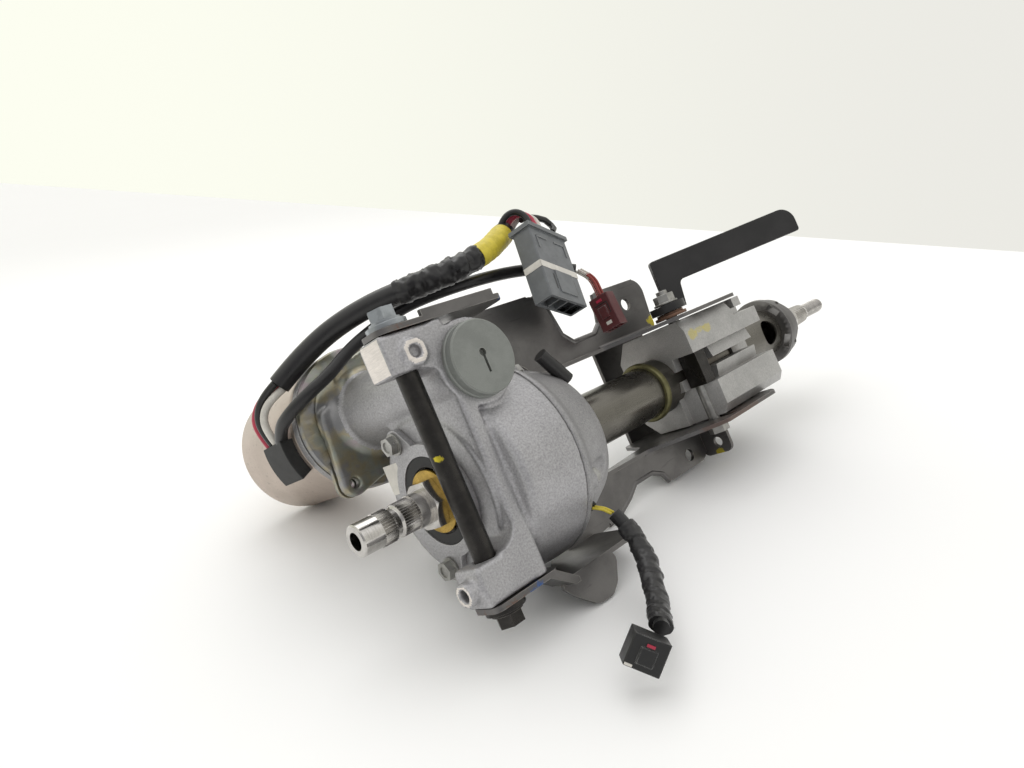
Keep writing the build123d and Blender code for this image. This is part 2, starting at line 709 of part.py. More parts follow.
def clamp_nut():
    y0 = upper_wall_y + sheet + 10.5
    nut = Pos(clamp_x, y0, clamp_z) * Rot(-90, 0, 0) * (Cylinder(8.6, 1.4, align=(Align.CENTER, Align.CENTER, Align.MIN)) + hexagon(13, 7.0))
    return nut - rod_y(clamp_bolt_radius, 0, 80, clamp_x, clamp_z)


def tilt_lever():
    """Cranked lever: a hub on the clamp bolt and a flat ribbon that rises beside the nut and turns into the handle."""
    y0 = upper_wall_y + sheet + body_gap + 4.4
    low = lever_top - lever_width
    hub = rod_y(12.5, y0, y0 + 5.4)
    foot = plate_y([(3.5, -lever_offset - lever_plate), (18, -lever_offset - lever_plate), (12, 2), (-4, 2)], y0, y0 + 5.4)
    leg = [(3.5, y0), (18, y0), (20.5, low), (lever_reach, low), (lever_reach, lever_top), (4, lever_top)]
    radii = [0.5, 0.5, 4.0, 2.0, 11.0, 2.5]
    ribbon = make_face(FilletPolyline(*leg, radius=radii, close=True))
    arm = Pos(0, 0, -lever_offset - lever_plate) * extrude(ribbon, lever_plate)
    arm = chamfer(arm.edges().group_by(Axis.Z)[-1] + arm.edges().group_by(Axis.Z)[0], 0.4)
    lever = hub + foot + arm - rod_y(clamp_bolt_radius + running_gap, 0, through)
    lever -= rod_y(9.0, y0 + 5.4, 66)
    return Pos(clamp_x, 0, clamp_z) * Rot(0, -lever_slope, 0) * lever


def wheel_end_collar():
    end = wheel_end_shoulder - 1
    body = turned([(collar_start, upper_tube_radius), (collar_start, 24), (collar_start + 2, collar_flange_radius),
                   (collar_start + 7, collar_flange_radius), (collar_start + 8.5, 25.5), (upper_tube_end + 3, 25.5), (top_bearing_end, 23),
                   (end - 3, 17), (end, 15), (end, 11.2), (top_bearing_end, 11.2), (top_bearing_end, 17 + body_gap),
                   (upper_tube_end - 1, 17 + body_gap), (upper_tube_end - 1, upper_tube_radius - tube_wall), (upper_tube_end, upper_tube_radius - tube_wall),
                   (upper_tube_end, upper_tube_radius)])
    for a in (-38, 32, 142, 212):
        slot = block(410, 438, 22, 26.4, -5.5, 5.5)
        body -= Rot(a + 90, 0, 0) * slot
    return body


def top_bearing():
    return tube_x(17 + body_gap, steering_shaft_radius + running_gap, upper_tube_end, top_bearing_end)


def sensor_coil():
    return tube_x(42, 26, 117, 137)


def worm_bearing(side):
    z0 = min(side * worm_bearing_z, side * (worm_bearing_z + worm_bearing_width))
    ring = rod_z(worm_bearing_radius, z0, z0 + worm_bearing_width, worm_x, worm_y)
    return ring - rod_z(worm_journal_radius + running_gap, z0 - 1, z0 + worm_bearing_width + 1, worm_x, worm_y)


# Motor
def motor_adapter():
    """Dished zinc-plated flange between the casting and the motor can."""
    z1 = adapter_z
    z0 = adapter_z - adapter_thickness
    body = turned([(z0, 8), (z0, 45), (z0 + 3, 46), (z1 - 3, 45), (z1, 37), (z1, 30), (z1 - 2, 26), (z1 - 2, 8)])
    body = along_z(body) + motor_ears(z0 + 2.5, z0 + 6)
    body -= rod_z(8.0, z0 - 1, z1 + 1, worm_x, worm_y)
    return body


def motor_can():
    front = motor_can_front
    z0 = motor_end_z
    outer = [(z0, 0), (z0, motor_radius - 5), (z0 + 1.2, motor_radius - 1.5), (z0 + 4, motor_radius), (front - 5, motor_radius),
             (front - 5, motor_radius + 2), (front, motor_radius + 2), (front, 0)]
    inner = [(z0 + motor_wall, 0), (z0 + motor_wall, motor_radius - motor_wall), (front + 1, motor_radius - motor_wall), (front + 1, 0)]
    can = turned(outer) - turned(inner)
    can += tube_x(17, 13, z0 + 1, z0 + motor_wall + 8)
    can -= turned([(z0 - 1, 0), (z0 - 1, 24), (z0 + 0.8, 22), (z0 + 0.8, 0)])
    return along_z(can)


def motor_ring():
    """Cast ring between can and adapter that carries the brush gear."""
    return along_z(tube_x(motor_radius + motor_ring_lip, motor_ring_bore, motor_can_front, adapter_z - adapter_thickness))


def magnets():
    pieces = []
    outer = motor_radius - motor_wall
    for i in range(4):
        arc = tube_x(outer, outer - magnet_thickness, motor_end_z + 18, motor_can_front - 20)
        keep = Rot(90 * i, 0, 0) * plate_x([(0, 0), (60, -38), (60, 38)], -400, 400)
        pieces.append(along_z(arc & keep))
    return pieces


def rotor_core():
    z0 = motor_end_z + 20
    z1 = motor_can_front - 22
    core = rod_x(rotor_radius, z0, z1)
    slot = block(z0 - 1, z1 + 1, rotor_radius - 9, rotor_radius + 1, -1.2, 1.2)
    core -= [Rot(360 * i / 14, 0, 0) * slot for i in range(14)]
    return along_z(core - rod_x(6.0, z0 - 1, z1 + 1))


def rotor_shaft():
    shaft = rod_x(rotor_shaft_radius, motor_end_z + 6, worm_shaft_end)
    return along_z(shaft)


def rotor_windings():
    z0 = motor_end_z + 20
    z1 = motor_can_front - 22
    ends = []
    for start, end in ((z0 - 8, z0), (z1, z1 + 4)):
        ends.append(along_z(tube_x(rotor_radius - 3, 9, start, end)))
    return ends


def commutator():
    body = tube_x(14, 6, -102, -95)
    slot = block(-103, -94, 12.6, 15, -0.4, 0.4)
    return along_z(body - [Rot(360 * i / 14, 0, 0) * slot for i in range(14)])


def brush_gear():
    plate = tube_x(motor_radius - motor_wall, 17, -93, -89)
    for turn in (0, 90, 180, 270):
        plate += Rot(turn, 0, 0) * block(-103, -93, 21, 34, -5, 5)
    return along_z(plate - brush_slots())


def brush_slots():
    slot = block(-101.5, -95.5, 14, 40, -3, 3)
    return [Rot(turn, 0, 0) * slot for turn in (0, 90, 180, 270)]


def brushes():
    return [along_z(Rot(turn, 0, 0) * block(-101.5, -95.5, 14 + body_gap, 30, -3, 3)) for turn in (0, 90, 180, 270)]


def motor_end_bearing():
    return along_z(tube_x(13, 6 + running_gap, motor_end_z + motor_wall, motor_end_z + motor_wall + 7))


def grommet():
    """Rubber lead-through on the side of the motor can."""
    outer = motor_radius + grommet_height
    pad = tube_x(outer, motor_radius + motor_ring_lip, -119.5, -93)
    pad += tube_x(outer, motor_radius, -119.5, motor_can_front - 5)
    sector = plate_x([(0, 0), (6, 70), (-32, 70)], -130, -90)
    return along_z(pad & sector)


# Harness
def cord_path(points):
    """Rounds a polyline with the largest arcs its runs allow."""
    vectors = [Vector(*p) for p in points]
    radii = []
    for before, corner, after in zip(vectors, vectors[1:], vectors[2:]):
        first = corner - before
        second = after - corner
        half_turn = math.radians(first.get_angle(second)) / 2
        radii.append(0.45 * min(first.length, second.length) / math.tan(half_turn))
    return FilletPolyline(*points, radius=radii), radii


def cord(name, points, diameter):
    path, radii = cord_path(points)
    tube = sweep(Plane(origin=path @ 0, z_dir=path % 0) * Circle(diameter / 2), path=path)
    ideal = math.pi * diameter ** 2 / 4 * path.length
    print(f"{name}: length {path.length:.1f}, radii {[round(r, 1) for r in radii]}, smallest {min(radii):.1f}")
    print(f"{name}: volume {tube.volume:.0f}, section times length {ideal:.0f}")
    return tube


# Routes in the column frame, in order from the motor or the cover to the plug
power_route = [(37, 99, -90), (58, 114, -74), (86, 122.5, -44), (113, 121, -12), (138, 122, 3), (163, 128, 4), (184.5, 137.5, -3)]
red_route = [(27.3, 65, -115.5), (24, 76, -116), (23.5, 87, -113.5), (29.5, 96.5, -103.5), (38.5, 100.1, -93)]
black_route = [(27.3, 65, -110.2), (23.6, 76, -110), (22.8, 86.5, -106.5), (27, 96, -97.5), (34.3, 100.7, -88.3)]
white_route = [(27.3, 65, -104.9), (23.6, 75.5, -104), (23.6, 85.5, -99.5), (29.2, 92.5, -93.2), (38, 96, -88.3)]
tail_route = [(184.5, 137.5, -3), (188.5, 143.5, 0.5), (193.8, 145, 6.5), (197.2, 139.5, 11.4), (195.8, 131.8, 13.2),
              (193.7, 125.4, 14.6)]
tail_spacing = (4.9, -1.85, -1.25)
signal_route = [(27.3, 65, -98), (24.8, 72.5, -88), (27.5, 78.5, -73), (38.5, 85, -61.5), (53, 91, -56),
                (67, 99.5, -53), (80, 105.5, -47), (105, 113.5, -37.5), (121, 114.5, -26), (142, 113.5, -13),
                (168, 112.5, -9), (190, 110, -6), (208, 104.5, 2), (218.5, 97, 11)]
sensor_route = [(123, -46, 52), (124.5, -57, 57), (121.5, -68, 63), (113, -77, 71), (102, -84, 79), (89.5, -90, 89),
                (77, -91.5, 99)]


def connector_place(centre, width_direction, front_direction):
    return Plane(origin=centre, x_dir=width_direction, z_dir=front_direction).location


def connector_body(width, length, thickness, cells, wall, depth):
    """Plug housing with X across, Y up the cable side and contact cavities open at the low end."""
    body = fillet(Box(width, length, thickness).edges().filter_by(Axis.Y), 1.0)
    pitch = (width - 2 * wall) / cells
    for i in range(cells):
        left = -width / 2 + wall + pitch * i
        low = -length / 2
        body -= block(left + 0.6, left + pitch - 0.6, low - 1, low + depth, -thickness / 2 + wall, thickness / 2 - wall)
    return body


def grey_connector():
    width = 39.0
    length = 53.4
    body = connector_body(width, length, 14.0, 4, 2.0, 18)
    top = length / 2
    body += block(-width / 2 - 1.5, width / 2 + 1.5, top - 3, top, -8.5, 8.5)
    body += block(-7, 11, -22, -6, 6.5, 7.8)
    return connector_place((185.6, 100.5, 20), (0.909, -0.347, -0.23), (0.285, 0.111, 0.944)) * body


def brown_connector():
    width = 15.1
    length = 23.4
    body = connector_body(width, length, 10.0, 3, 1.4, 10)
    for i in range(3):
        body += block(-width / 2 - 0.8, -width / 2 + 0.5, -length / 2 + 2, length / 2 - 1, -4.2 + 3 * i, -2.8 + 3 * i)
    body += block(-3, 3, -4, 4, 4.5, 6.2)
    return connector_place((219.5, 61.9, 22), (0.239, 0.11, 0.963), (-0.968, 0.111, 0.224)) * body


def black_connector():
    width = 18.0
    length = 16.0
    body = connector_body(width, length, 13.0, 4, 1.4, 9)
    body += block(-4, 4, -5, 3, 6, 7.6)
    return connector_place((61, -94, 100), (0.536, -0.709, 0.457), (-0.651, 0, 0.759)) * body


def thin_wires(start, end, bow, radius, offsets):
    """Thin cores side by side that bow outwards between two places."""
    wires = []
    middle = (Vector(*start) + Vector(*end)) * 0.5 + Vector(*bow)
    for dx, dy, dz in offsets:
        points = [tuple(Vector(*p) + Vector(dx, dy, dz)) for p in (start, tuple(middle), end)]
        path, radii = cord_path(points)
        wires.append(sweep(Plane(origin=path @ 0, z_dir=path % 0) * Circle(radius), path=path))
    return wires


def wire_clip():
    """Moulded cable clip on the shoulder of the rear cover."""
    body = Pos(rear_cover_end - 11, 42, 28.5) * Rot(0, 0, -57) * Rot(0, 90, 0) * Cylinder(4.5, 24)
    cover = [(100, 0), (100, bell_radius + 0.05), (113, bell_radius + 0.05), (120, bell_radius - 4.95), (134, 51.05), (148, 45.05)]
    cover += [(155, 38.05), (rear_cover_end, rear_neck_radius), (rear_cover_end + 9, 20), (rear_cover_end + 9, 0)]
    return body - turned(cover)


def put_harness():
    put("power_sleeve", cord("power_sleeve", power_route, 2 * sleeve_radius))
    put("red_wire", cord("red_wire", red_route, power_wire_diameter))
    put("black_wire", cord("black_wire", black_route, power_wire_diameter))
    put("white_wire", cord("white_wire", white_route, power_wire_diameter))
    for place, colour in enumerate(("black", "red", "white")):
        shift = Vector(*tail_spacing) * (place - 1)
        points = [tuple(Vector(*p) + shift) for p in tail_route]
        put(f"{colour}_tail", cord(f"{colour}_tail", points, tail_diameter))
    put("grey_connector", grey_connector())
    put("signal_cable", cord("signal_cable", signal_route, 8.0))
    spread = ((-1.3, 0, -1.3), (1.3, 0, -1.3), (1.3, 0, 1.3), (-1.3, 0, 1.3))
    put("signal_wires", *thin_wires((219.5, 96.2, 12), (220.6, 74.2, 20.8), (2.5, 2, 2), 0.9, spread))
    put("brown_connector", brown_connector())
    put("sensor_cable", cord("sensor_cable", sensor_route, 8.0))
    cores = ((-1, 0, 0), (1, 0, 0))
    put("sensor_wires", *thin_wires((117, -38.6, 44.7), (122.6, -45.6, 51.6), (0.8, 0.5, 0.5), 0.8, cores))
    put("black_connector", black_connector())
    put("wire_clip", wire_clip())


def main():
    put("mounting_bracket", mounting_bracket())
    put("pivot_rod", pivot_rod())
    put("pivot_bolts", pivot_bolt(1), pivot_bolt(-1))
    put("pivot_washers", pivot_washer(1), pivot_washer(-1))
    put("gear_housing", gear_housing())
    put("front_cover", front_cover())
    put("cover_bolts", *[cover_bolt(y, z) for y, z in cover_bolt_places()])
    put("worm_end_cap", worm_end_cap())
    put("rear_cover", rear_cover())
    put("rear_cover_screws", *[rear_cover_screw(a) for a in cover_screw_angles])
    outer, inner, rollers = shaft_bearing()
    put("shaft_bearing_outer", outer)
    put("shaft_bearing_inner", inner)
    put("shaft_bearing_rollers", *rollers)
    put("output_shaft", output_shaft())
    put("lock_nut", lock_nut())
    put("brass_ring", brass_ring())
    put("seal_ring", seal_ring())
    put("torsion_bar", torsion_bar())
    put("steering_shaft", steering_shaft())
    put("worm_wheel_hub", worm_wheel_hub())
    put("worm_wheel_ring", worm_wheel_ring())
    put("worm_shaft", worm_shaft())
    put("lower_tube", lower_tube())
    put("tolerance_ring", tolerance_ring())
    put("upper_tube", upper_tube())
    put("clamp_block", clamp_block())
    put("stopper_plate", stopper_plate())
    put("clamp_bolt", clamp_bolt())
    put("clamp_washers", clamp_washers())
    put("clamp_nut", clamp_nut())
    put("tilt_lever", tilt_lever())
    put("wheel_end_collar", wheel_end_collar())
    put("top_bearing", top_bearing())
    put("sensor_coil", sensor_coil())
    put("motor_adapter", motor_adapter())
    put("motor_ring", motor_ring())
    put("motor_can", motor_can())
    put("magnets", *magnets())
    put("rotor_core", rotor_core())
    put("rotor_shaft", rotor_shaft() + commutator())
    put("rotor_windings", *rotor_windings())
    put("brush_gear", brush_gear())
    put("brushes", *brushes())
    put("rotor_bearings", worm_bearing(1), worm_bearing(-1), motor_end_bearing())
    put("grommets", grommet(), sensor_lead_through(3.0, 54, 59))
    put_harness()


main()
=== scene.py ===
"""Dresses the CAD frame of a steering column with electric power assistance, lying on a white bench."""

import json
import math

import bmesh
import bpy
from mathutils import Matrix, Vector

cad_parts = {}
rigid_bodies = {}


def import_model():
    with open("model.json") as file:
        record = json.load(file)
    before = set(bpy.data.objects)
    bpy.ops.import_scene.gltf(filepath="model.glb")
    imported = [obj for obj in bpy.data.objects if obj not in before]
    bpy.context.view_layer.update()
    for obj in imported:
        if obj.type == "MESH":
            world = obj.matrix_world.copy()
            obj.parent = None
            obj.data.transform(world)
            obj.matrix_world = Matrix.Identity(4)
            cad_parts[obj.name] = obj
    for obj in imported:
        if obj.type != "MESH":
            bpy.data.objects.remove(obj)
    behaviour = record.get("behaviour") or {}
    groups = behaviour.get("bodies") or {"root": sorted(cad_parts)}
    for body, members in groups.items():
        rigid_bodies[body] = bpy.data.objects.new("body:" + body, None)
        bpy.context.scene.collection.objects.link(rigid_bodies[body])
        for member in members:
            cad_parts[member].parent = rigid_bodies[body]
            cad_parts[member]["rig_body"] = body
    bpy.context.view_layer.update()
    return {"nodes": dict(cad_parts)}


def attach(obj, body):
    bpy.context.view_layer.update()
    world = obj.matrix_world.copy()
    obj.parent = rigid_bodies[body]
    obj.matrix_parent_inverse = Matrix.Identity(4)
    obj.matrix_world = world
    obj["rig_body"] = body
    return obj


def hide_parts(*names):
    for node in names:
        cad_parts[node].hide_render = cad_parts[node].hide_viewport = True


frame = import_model()

bl_info = {
    "name": "Power steering column",
    "version": (1, 0, 0),
    "blender": (4, 5, 0),
    "location": "3D View > Sidebar > Steering column",
    "description": "Dresses the CAD frame of a steering column with its power assistance unit",
    "category": "Object",
}

# The column's own axes run along the shaft, along the tilt pivot and towards the worm cap.
# It lies on the bench rolled about its shaft.
ROLL_ANGLE = math.radians(64.7)
ROLL = Matrix.Rotation(ROLL_ANGLE, 4, "X")
BENCH = -0.0619


def resting(place):
    """A place in the column's own axes, in metres, as it lies on the bench."""
    return ROLL @ Vector(place)


def placed(name, data):
    """A new object in the scene that holds some data."""
    obj = bpy.data.objects.new(name, data)
    bpy.context.scene.collection.objects.link(obj)
    return obj


def solid_mesh(holder):
    """The mesh that an object with its modifiers makes. The object goes."""
    bpy.context.view_layer.update()
    graph = bpy.context.evaluated_depsgraph_get()
    mesh = bpy.data.meshes.new_from_object(holder.evaluated_get(graph))
    bpy.data.objects.remove(holder)
    return mesh


# Colours


def linear(code):
    """Linear RGB of an sRGB hex value."""
    values = [int(code[i : i + 2], 16) / 255 for i in (1, 3, 5)]
    return tuple(v / 12.92 if v <= 0.04045 else ((v + 0.055) / 1.055) ** 2.4 for v in values)


def colour(label, code, words):
    """A colour that a user may change."""
    return bpy.props.FloatVectorProperty(
        name=label, description=words, subtype="COLOR", size=3, min=0, max=1, default=linear(code)
    )


def length(label, metres, words):
    """A length that a user may change."""
    return bpy.props.FloatProperty(
        name=label, description=words, default=metres, min=0, unit="LENGTH", precision=5
    )


class ColumnColours(bpy.types.PropertyGroup):
    """Colours of the finishes."""

    casting: colour("Casting", "#AEADAF", "Die-cast aluminium of the gear housing")
    machined: colour("Machined faces", "#E6DFD8", "Milled faces of the lugs")
    bracket: colour("Bracket", "#6F6D6C", "Phosphated sheet steel")
    motor_can: colour("Motor can", "#BDAFA3", "Nickel-plated deep-drawn can")
    adapter: colour("Motor flange", "#8E8C88", "Yellow-zinc plated flange")
    tube: colour("Column tube", "#716E67", "Drawn steel tube")
    rear_cover: colour("Rear cover", "#A3A2A3", "Sand-cast cover")
    clamp_block: colour("Clamp block", "#B4B3B1", "Cast clamp block")
    cap: colour("Worm cap", "#858884", "Pressed sealing cap over the worm bearing")
    shaft_steel: colour("Shaft", "#C9C6C2", "Ground steel")
    zinc: colour("Zinc bolts", "#A9A8A4", "Zinc-plated bolts")
    blue_zinc: colour("Blue zinc bolt", "#A2A7AB", "Bluish zinc plating of the upper pivot bolt")
    washer: colour("Clamp washers", "#8A6A58", "Browned steel of the clamp washers")
    black_bolt: colour("Black bolts", "#3A3836", "Black-oxide steel")
    brass: colour("Brass", "#BC9C4C", "Brass spacer ring")
    olive: colour("Tolerance ring", "#7E7A55", "Olive-yellow plated tolerance ring")
    lever: colour("Lever", "#1D1C1C", "Moulded lever grip")
    rubber: colour("Rubber", "#191919", "Black rubber")
    sleeve: colour("Cable sleeve", "#131213", "Taped cable sleeve")
    tape: colour("Marking tape", "#D9C63F", "Yellow cloth tape band")
    red_wire: colour("Red wire", "#B8304A", "Red insulation")
    white_wire: colour("White wire", "#D8D4CB", "White insulation")
    brown_wire: colour("Brown-red wire", "#8E3028", "Brown-red insulation")
    grey_plug: colour("Grey plug", "#6A6D70", "Grey nylon plug")
    brown_plug: colour("Brown plug", "#5A2A2C", "Brown-red nylon plug")
    blank_label: colour("Blank label", "#DAD6CE", "Blank paper label and moulded white inserts")
    blue_paint: colour("Blue paint", "#2F5C9E", "Blue assembly paint")
    yellow_paint: colour("Yellow paint", "#D3C23C", "Yellow assembly paint")
    rust: colour("Rust", "#6F4A35", "Rust bloom on steel")
    bench: colour("Bench", "#FAFAFA", "White bench top")
    wall_left: colour("Wall, left", "#FDFEF1", "Wall behind the bench on the window side")
    wall_right: colour("Wall, right", "#EBEAE4", "Wall behind the bench on the dark side")


class ColumnSizes(bpy.types.PropertyGroup):
    """Sizes of the finishing work."""

    edge: length("Edge break", 0.0004, "Broken edge of machined parts")
    pressed_edge: length("Pressed edge", 0.0006, "Rounded edge of sheet and cast parts")
    sharp_edge: length("Sharp edge", 0.00015, "Edge of ground and cut parts")
    cast_edge: length("Casting detail", 0.0011, "Smallest detail left when a casting is rounded")
    lip: length("Edge bead", 0.0019, "Radius of the rolled lips of the bracket")
    loom: length("Tape lap", 0.006, "Lap of the tape wound round a cable")


def panel_colour(key):
    """A colour of the panel by its name."""
    return getattr(bpy.context.scene.column_colours, key)


# Shader building


def add(tree, kind, inputs=None, **settings):
    """Adds a node, sets its properties, then fills its inputs with values or with other nodes' outputs."""
    node = tree.nodes.new(kind)
    for key, value in settings.items():
        setattr(node, key, value)
    for key, value in (inputs or {}).items():
        if isinstance(value, bpy.types.NodeSocket):
            tree.links.new(value, node.inputs[key])
        else:
            node.inputs[key].default_value = value
    return node


def rgba(value, factor=1.0):
    """A colour socket's value, made lighter or darker by a factor."""
    return (value[0] * factor, value[1] * factor, value[2] * factor, 1.0)


def ramp(tree, value, low, high, start=0.0, end=1.0, **settings):
    """Output of a Map Range node from low..high to start..end."""
    inputs = {0: value, 1: low, 2: high, 3: start, 4: end}
    return add(tree, "ShaderNodeMapRange", inputs, **settings).outputs[0]


def noise(tree, where, size, **inputs):
    """Output of a Noise Texture whose pattern repeats about every so many millimetres."""
    inputs = {"Vector": where, "Scale": 1000.0 / size, **inputs}
    return add(tree, "ShaderNodeTexNoise", inputs).outputs[0]


def mixed(tree, factor, first, second, blend="MIX"):
    """Output of a colour Mix node."""
    inputs = {0: factor, 6: first, 7: second}
    return add(tree, "ShaderNodeMix", inputs, data_type="RGBA", blend_type=blend).outputs[2]


def math_of(tree, operation, first, second):
    """Output of a Math node."""
    return add(tree, "ShaderNodeMath", {0: first, 1: second}, operation=operation).outputs[0]


def spot(tree, where, ragged, centre, radii):
    """Cover of a paint or stain spot with a ragged edge, for a place and radii in millimetres."""
    away = add(tree, "ShaderNodeVectorMath", {0: where, 1: Vector(centre) / 1000}, operation="SUBTRACT")
    inputs = {0: away.outputs[0], 1: Vector(radii) / 1000}
    scaled = add(tree, "ShaderNodeVectorMath", inputs, operation="DIVIDE").outputs[0]
    distance = add(tree, "ShaderNodeVectorMath", {0: scaled}, operation="LENGTH").outputs["Value"]
    edge = math_of(tree, "ADD", distance, math_of(tree, "MULTIPLY", ragged, 1.8))
    return ramp(tree, edge, 1.95, 1.75)


def iridescence(tree, upright, codes):
    """Clouds of colour of a passivated plating, from four hex colours."""
    cloud = noise(tree, upright, 20.0, Detail=3.0)
    band = add(tree, "ShaderNodeValToRGB", {0: cloud})
    stops = band.color_ramp.elements
    stops[0].position, stops[0].color = 0.38, rgba(linear(codes[0]))
    stops[1].position, stops[1].color = 0.66, rgba(linear(codes[-1]))
    for position, code in zip((0.47, 0.56), codes[1:-1]):
        stops.new(position).color = rgba(linear(code))
    return band.outputs[0]


def worn_edges(tree):
    """How far a place is an edge that has been rubbed."""
    rounded = add(tree, "ShaderNodeBevel", {"Radius": 0.0009}, samples=5).outputs[0]
    true = add(tree, "ShaderNodeNewGeometry").outputs["Normal"]
    facing = add(tree, "ShaderNodeVectorMath", {0: rounded, 1: true}, operation="DOT_PRODUCT")
    return ramp(tree, facing.outputs["Value"], 0.97, 0.86, 0.0, 0.85)


def surface(
    name,
    base,
    second,
    metallic=0.0,
    roughness=0.5,
    swing=0.08,
    patch=25.0,
    grain=0.5,
    depth=0.02,
    grit=0.08,
    lines=None,
    scratches=0.0,
    painted_corner_shade=None,
    wear=None,
    clouds=None,
    marks=(),
    sheen=0.0,
):
    """A finish from two mottled tones, fine grain, tool lines, scratches, painted shade in corners and worn
    edges.

    base is a colour or the name of one in the panel, and second makes the other tone from it.
    patch, grain and depth are in millimetres, swing is how far the roughness varies, grit is how
    much the grain shades, and lines is the stretch of the tool marks along the column's axes.
    clouds are four hex colours of an iridescent plating. Each of marks is a colour, a centre and
    radii in millimetres in the column's axes, and how well it covers.
    """
    found = bpy.data.materials.get(name)
    if found:
        return found
    base = panel_colour(base) if isinstance(base, str) else base
    material = bpy.data.materials.new(name)
    material.use_nodes = True
    tree = material.node_tree
    tree.nodes.clear()
    where = add(tree, "ShaderNodeTexCoord").outputs["Object"]
    upright = add(tree, "ShaderNodeMapping", {0: where, 2: (-ROLL_ANGLE, 0, 0)}).outputs[0]
    mottle = noise(tree, upright, patch, Detail=6.0, Roughness=0.62)
    spread = ramp(tree, mottle, 0.38, 0.62, interpolation_type="SMOOTHSTEP")
    tint = mixed(tree, spread, rgba(base), rgba(base, second))
    if clouds:
        tint = mixed(tree, 0.45, tint, iridescence(tree, upright, clouds))
    fine = noise(tree, upright, grain, Detail=4.0, Roughness=0.65)
    bump = {"Strength": 0.6, "Distance": depth / 1000, "Height": fine}
    height = add(tree, "ShaderNodeBump", bump).outputs[0]
    tint = mixed(tree, 1.0, tint, ramp(tree, fine, 0.3, 0.7, 1 - grit, 1 + grit * 0.6), "MULTIPLY")
    rough = ramp(tree, mottle, 0.3, 0.7, roughness - swing, roughness + swing)
    if lines:
        drawn = add(tree, "ShaderNodeMapping", {0: upright, 3: lines}).outputs[0]
        cuts = noise(tree, drawn, 1.0, Detail=3.0)
        bump = {"Strength": 0.5, "Distance": 0.00002, "Height": cuts, "Normal": height}
        height = add(tree, "ShaderNodeBump", bump).outputs[0]
        tint = mixed(tree, 1.0, tint, ramp(tree, cuts, 0.3, 0.7, 0.88, 1.06), "MULTIPLY")
    if scratches:
        turned = {0: upright, 2: (0.3, 0.5, 0.9), 3: (1.0, 14.0, 9.0)}
        bent = add(tree, "ShaderNodeMapping", turned).outputs[0]
        hair = noise(tree, bent, 26.0, Detail=6.0, Distortion=0.3)
        tint = mixed(tree, ramp(tree, hair, 0.63, 0.68, 0.0, scratches), tint, rgba(base, 0.5))
    # Painted shade: the tone is darkened towards a tint in corners and hollows, by ambient occlusion.
    if painted_corner_shade:
        corner = add(tree, "ShaderNodeAmbientOcclusion", {"Distance": 0.009}, samples=6).outputs["AO"]
        close = ramp(tree, corner, 0.25, 0.7, 0.45, 0.0)
        tint = mixed(tree, math_of(tree, "MULTIPLY", close, spread), tint, rgba(linear(painted_corner_shade)))
    if wear:
        rubbed = math_of(tree, "MULTIPLY", worn_edges(tree), spread)
        tint = mixed(tree, rubbed, tint, rgba(linear(wear)))
    if marks:
        ragged = noise(tree, upright, 3.0, Detail=5.0, Roughness=0.8)
    for key, centre, radii, cover in marks:
        seen = math_of(tree, "MULTIPLY", spot(tree, upright, ragged, centre, radii), cover)
        tint = mixed(tree, seen, tint, rgba(panel_colour(key)))
    inputs = {
        "Base Color": tint,
        "Roughness": rough,
        "Normal": height,
        "Metallic": metallic,
        "Sheen Weight": sheen,
    }
    shader = add(tree, "ShaderNodeBsdfPrincipled", inputs)
    add(tree, "ShaderNodeOutputMaterial", {"Surface": shader.outputs[0]})
    return material


# Finishes, each named for what the real surface is


def casting():
    """Die-cast aluminium, shot-blasted after casting: light grey and gritty, with painted brownish shade in
    its corners.
    """
    return surface(
        "die_cast_aluminium", "casting", 0.93, metallic=0.65, roughness=0.42, swing=0.05, patch=30.0,
        grain=1.1, depth=0.3, grit=0.3, painted_corner_shade="#5A4C3F", wear="#E0DEDC",
    )


def milled():
    """Aluminium faced with a milling cutter: pale, with fine arcs, a satin reflection and painted shade in
    its corners.
    """
    return surface(
        "milled_aluminium", "machined", 0.9, metallic=0.6, roughness=0.38, swing=0.05, patch=12.0,
        lines=(0.2, 2.4, 0.2), painted_corner_shade="#8A7A68",
    )


# Rust and paint dabs on the bracket, in millimetres in the column's axes
BRACKET_MARKS = (
    ("rust", (245, -38, 46), (60, 16, 12), 0.35),
    ("rust", (225, 58, 46), (50, 14, 12), 0.3),
    ("rust", (41, 84, 39), (14, 9, 14), 0.45),
    ("rust", (41, -62, 39), (16, 9, 14), 0.6),
    ("blue_paint", (114.6, 88, 48), (5, 4, 5), 0.9),
    ("blue_paint", (56, -62, 46), (9, 9, 6), 0.85),
    ("yellow_paint", (290, 46, 0), (9, 5, 5), 0.85),
    ("yellow_paint", (285.4, -63, 11.6), (4, 4, 4), 0.85),
)


def pressed_steel():
    """Sheet steel, phosphated and oiled: dark grey, a little brown where it has rusted, paint dabs, painted
    shade in its corners.
    """
    return surface(
        "phosphated_sheet_steel", "bracket", 0.8, metallic=0.8, roughness=0.36, patch=30.0, grain=0.45,
        depth=0.04, scratches=0.4, painted_corner_shade="#4B3A2E", wear="#A9A5A1", marks=BRACKET_MARKS,
    )


def nickel_can():
    """Deep-drawn steel can with a satin nickel plating: warm pinkish grey with scuffs round it and painted
    shade in its corners.
    """
    return surface(
        "satin_nickel_plating", "motor_can", 0.9, metallic=0.7, roughness=0.34, swing=0.06, patch=30.0,
        grain=0.6, scratches=0.5, painted_corner_shade="#7C6A57",
    )


def yellow_zinc():
    """Zinc plating with an iridescent passivation: grey with straw and violet clouds."""
    return surface(
        "iridescent_zinc_plating", "adapter", 0.78, metallic=0.75, roughness=0.36, patch=12.0, grain=0.6,
        depth=0.03, scratches=0.3, clouds=("#8C8E93", "#B5A77A", "#9FA89A", "#B09BA6"),
    )


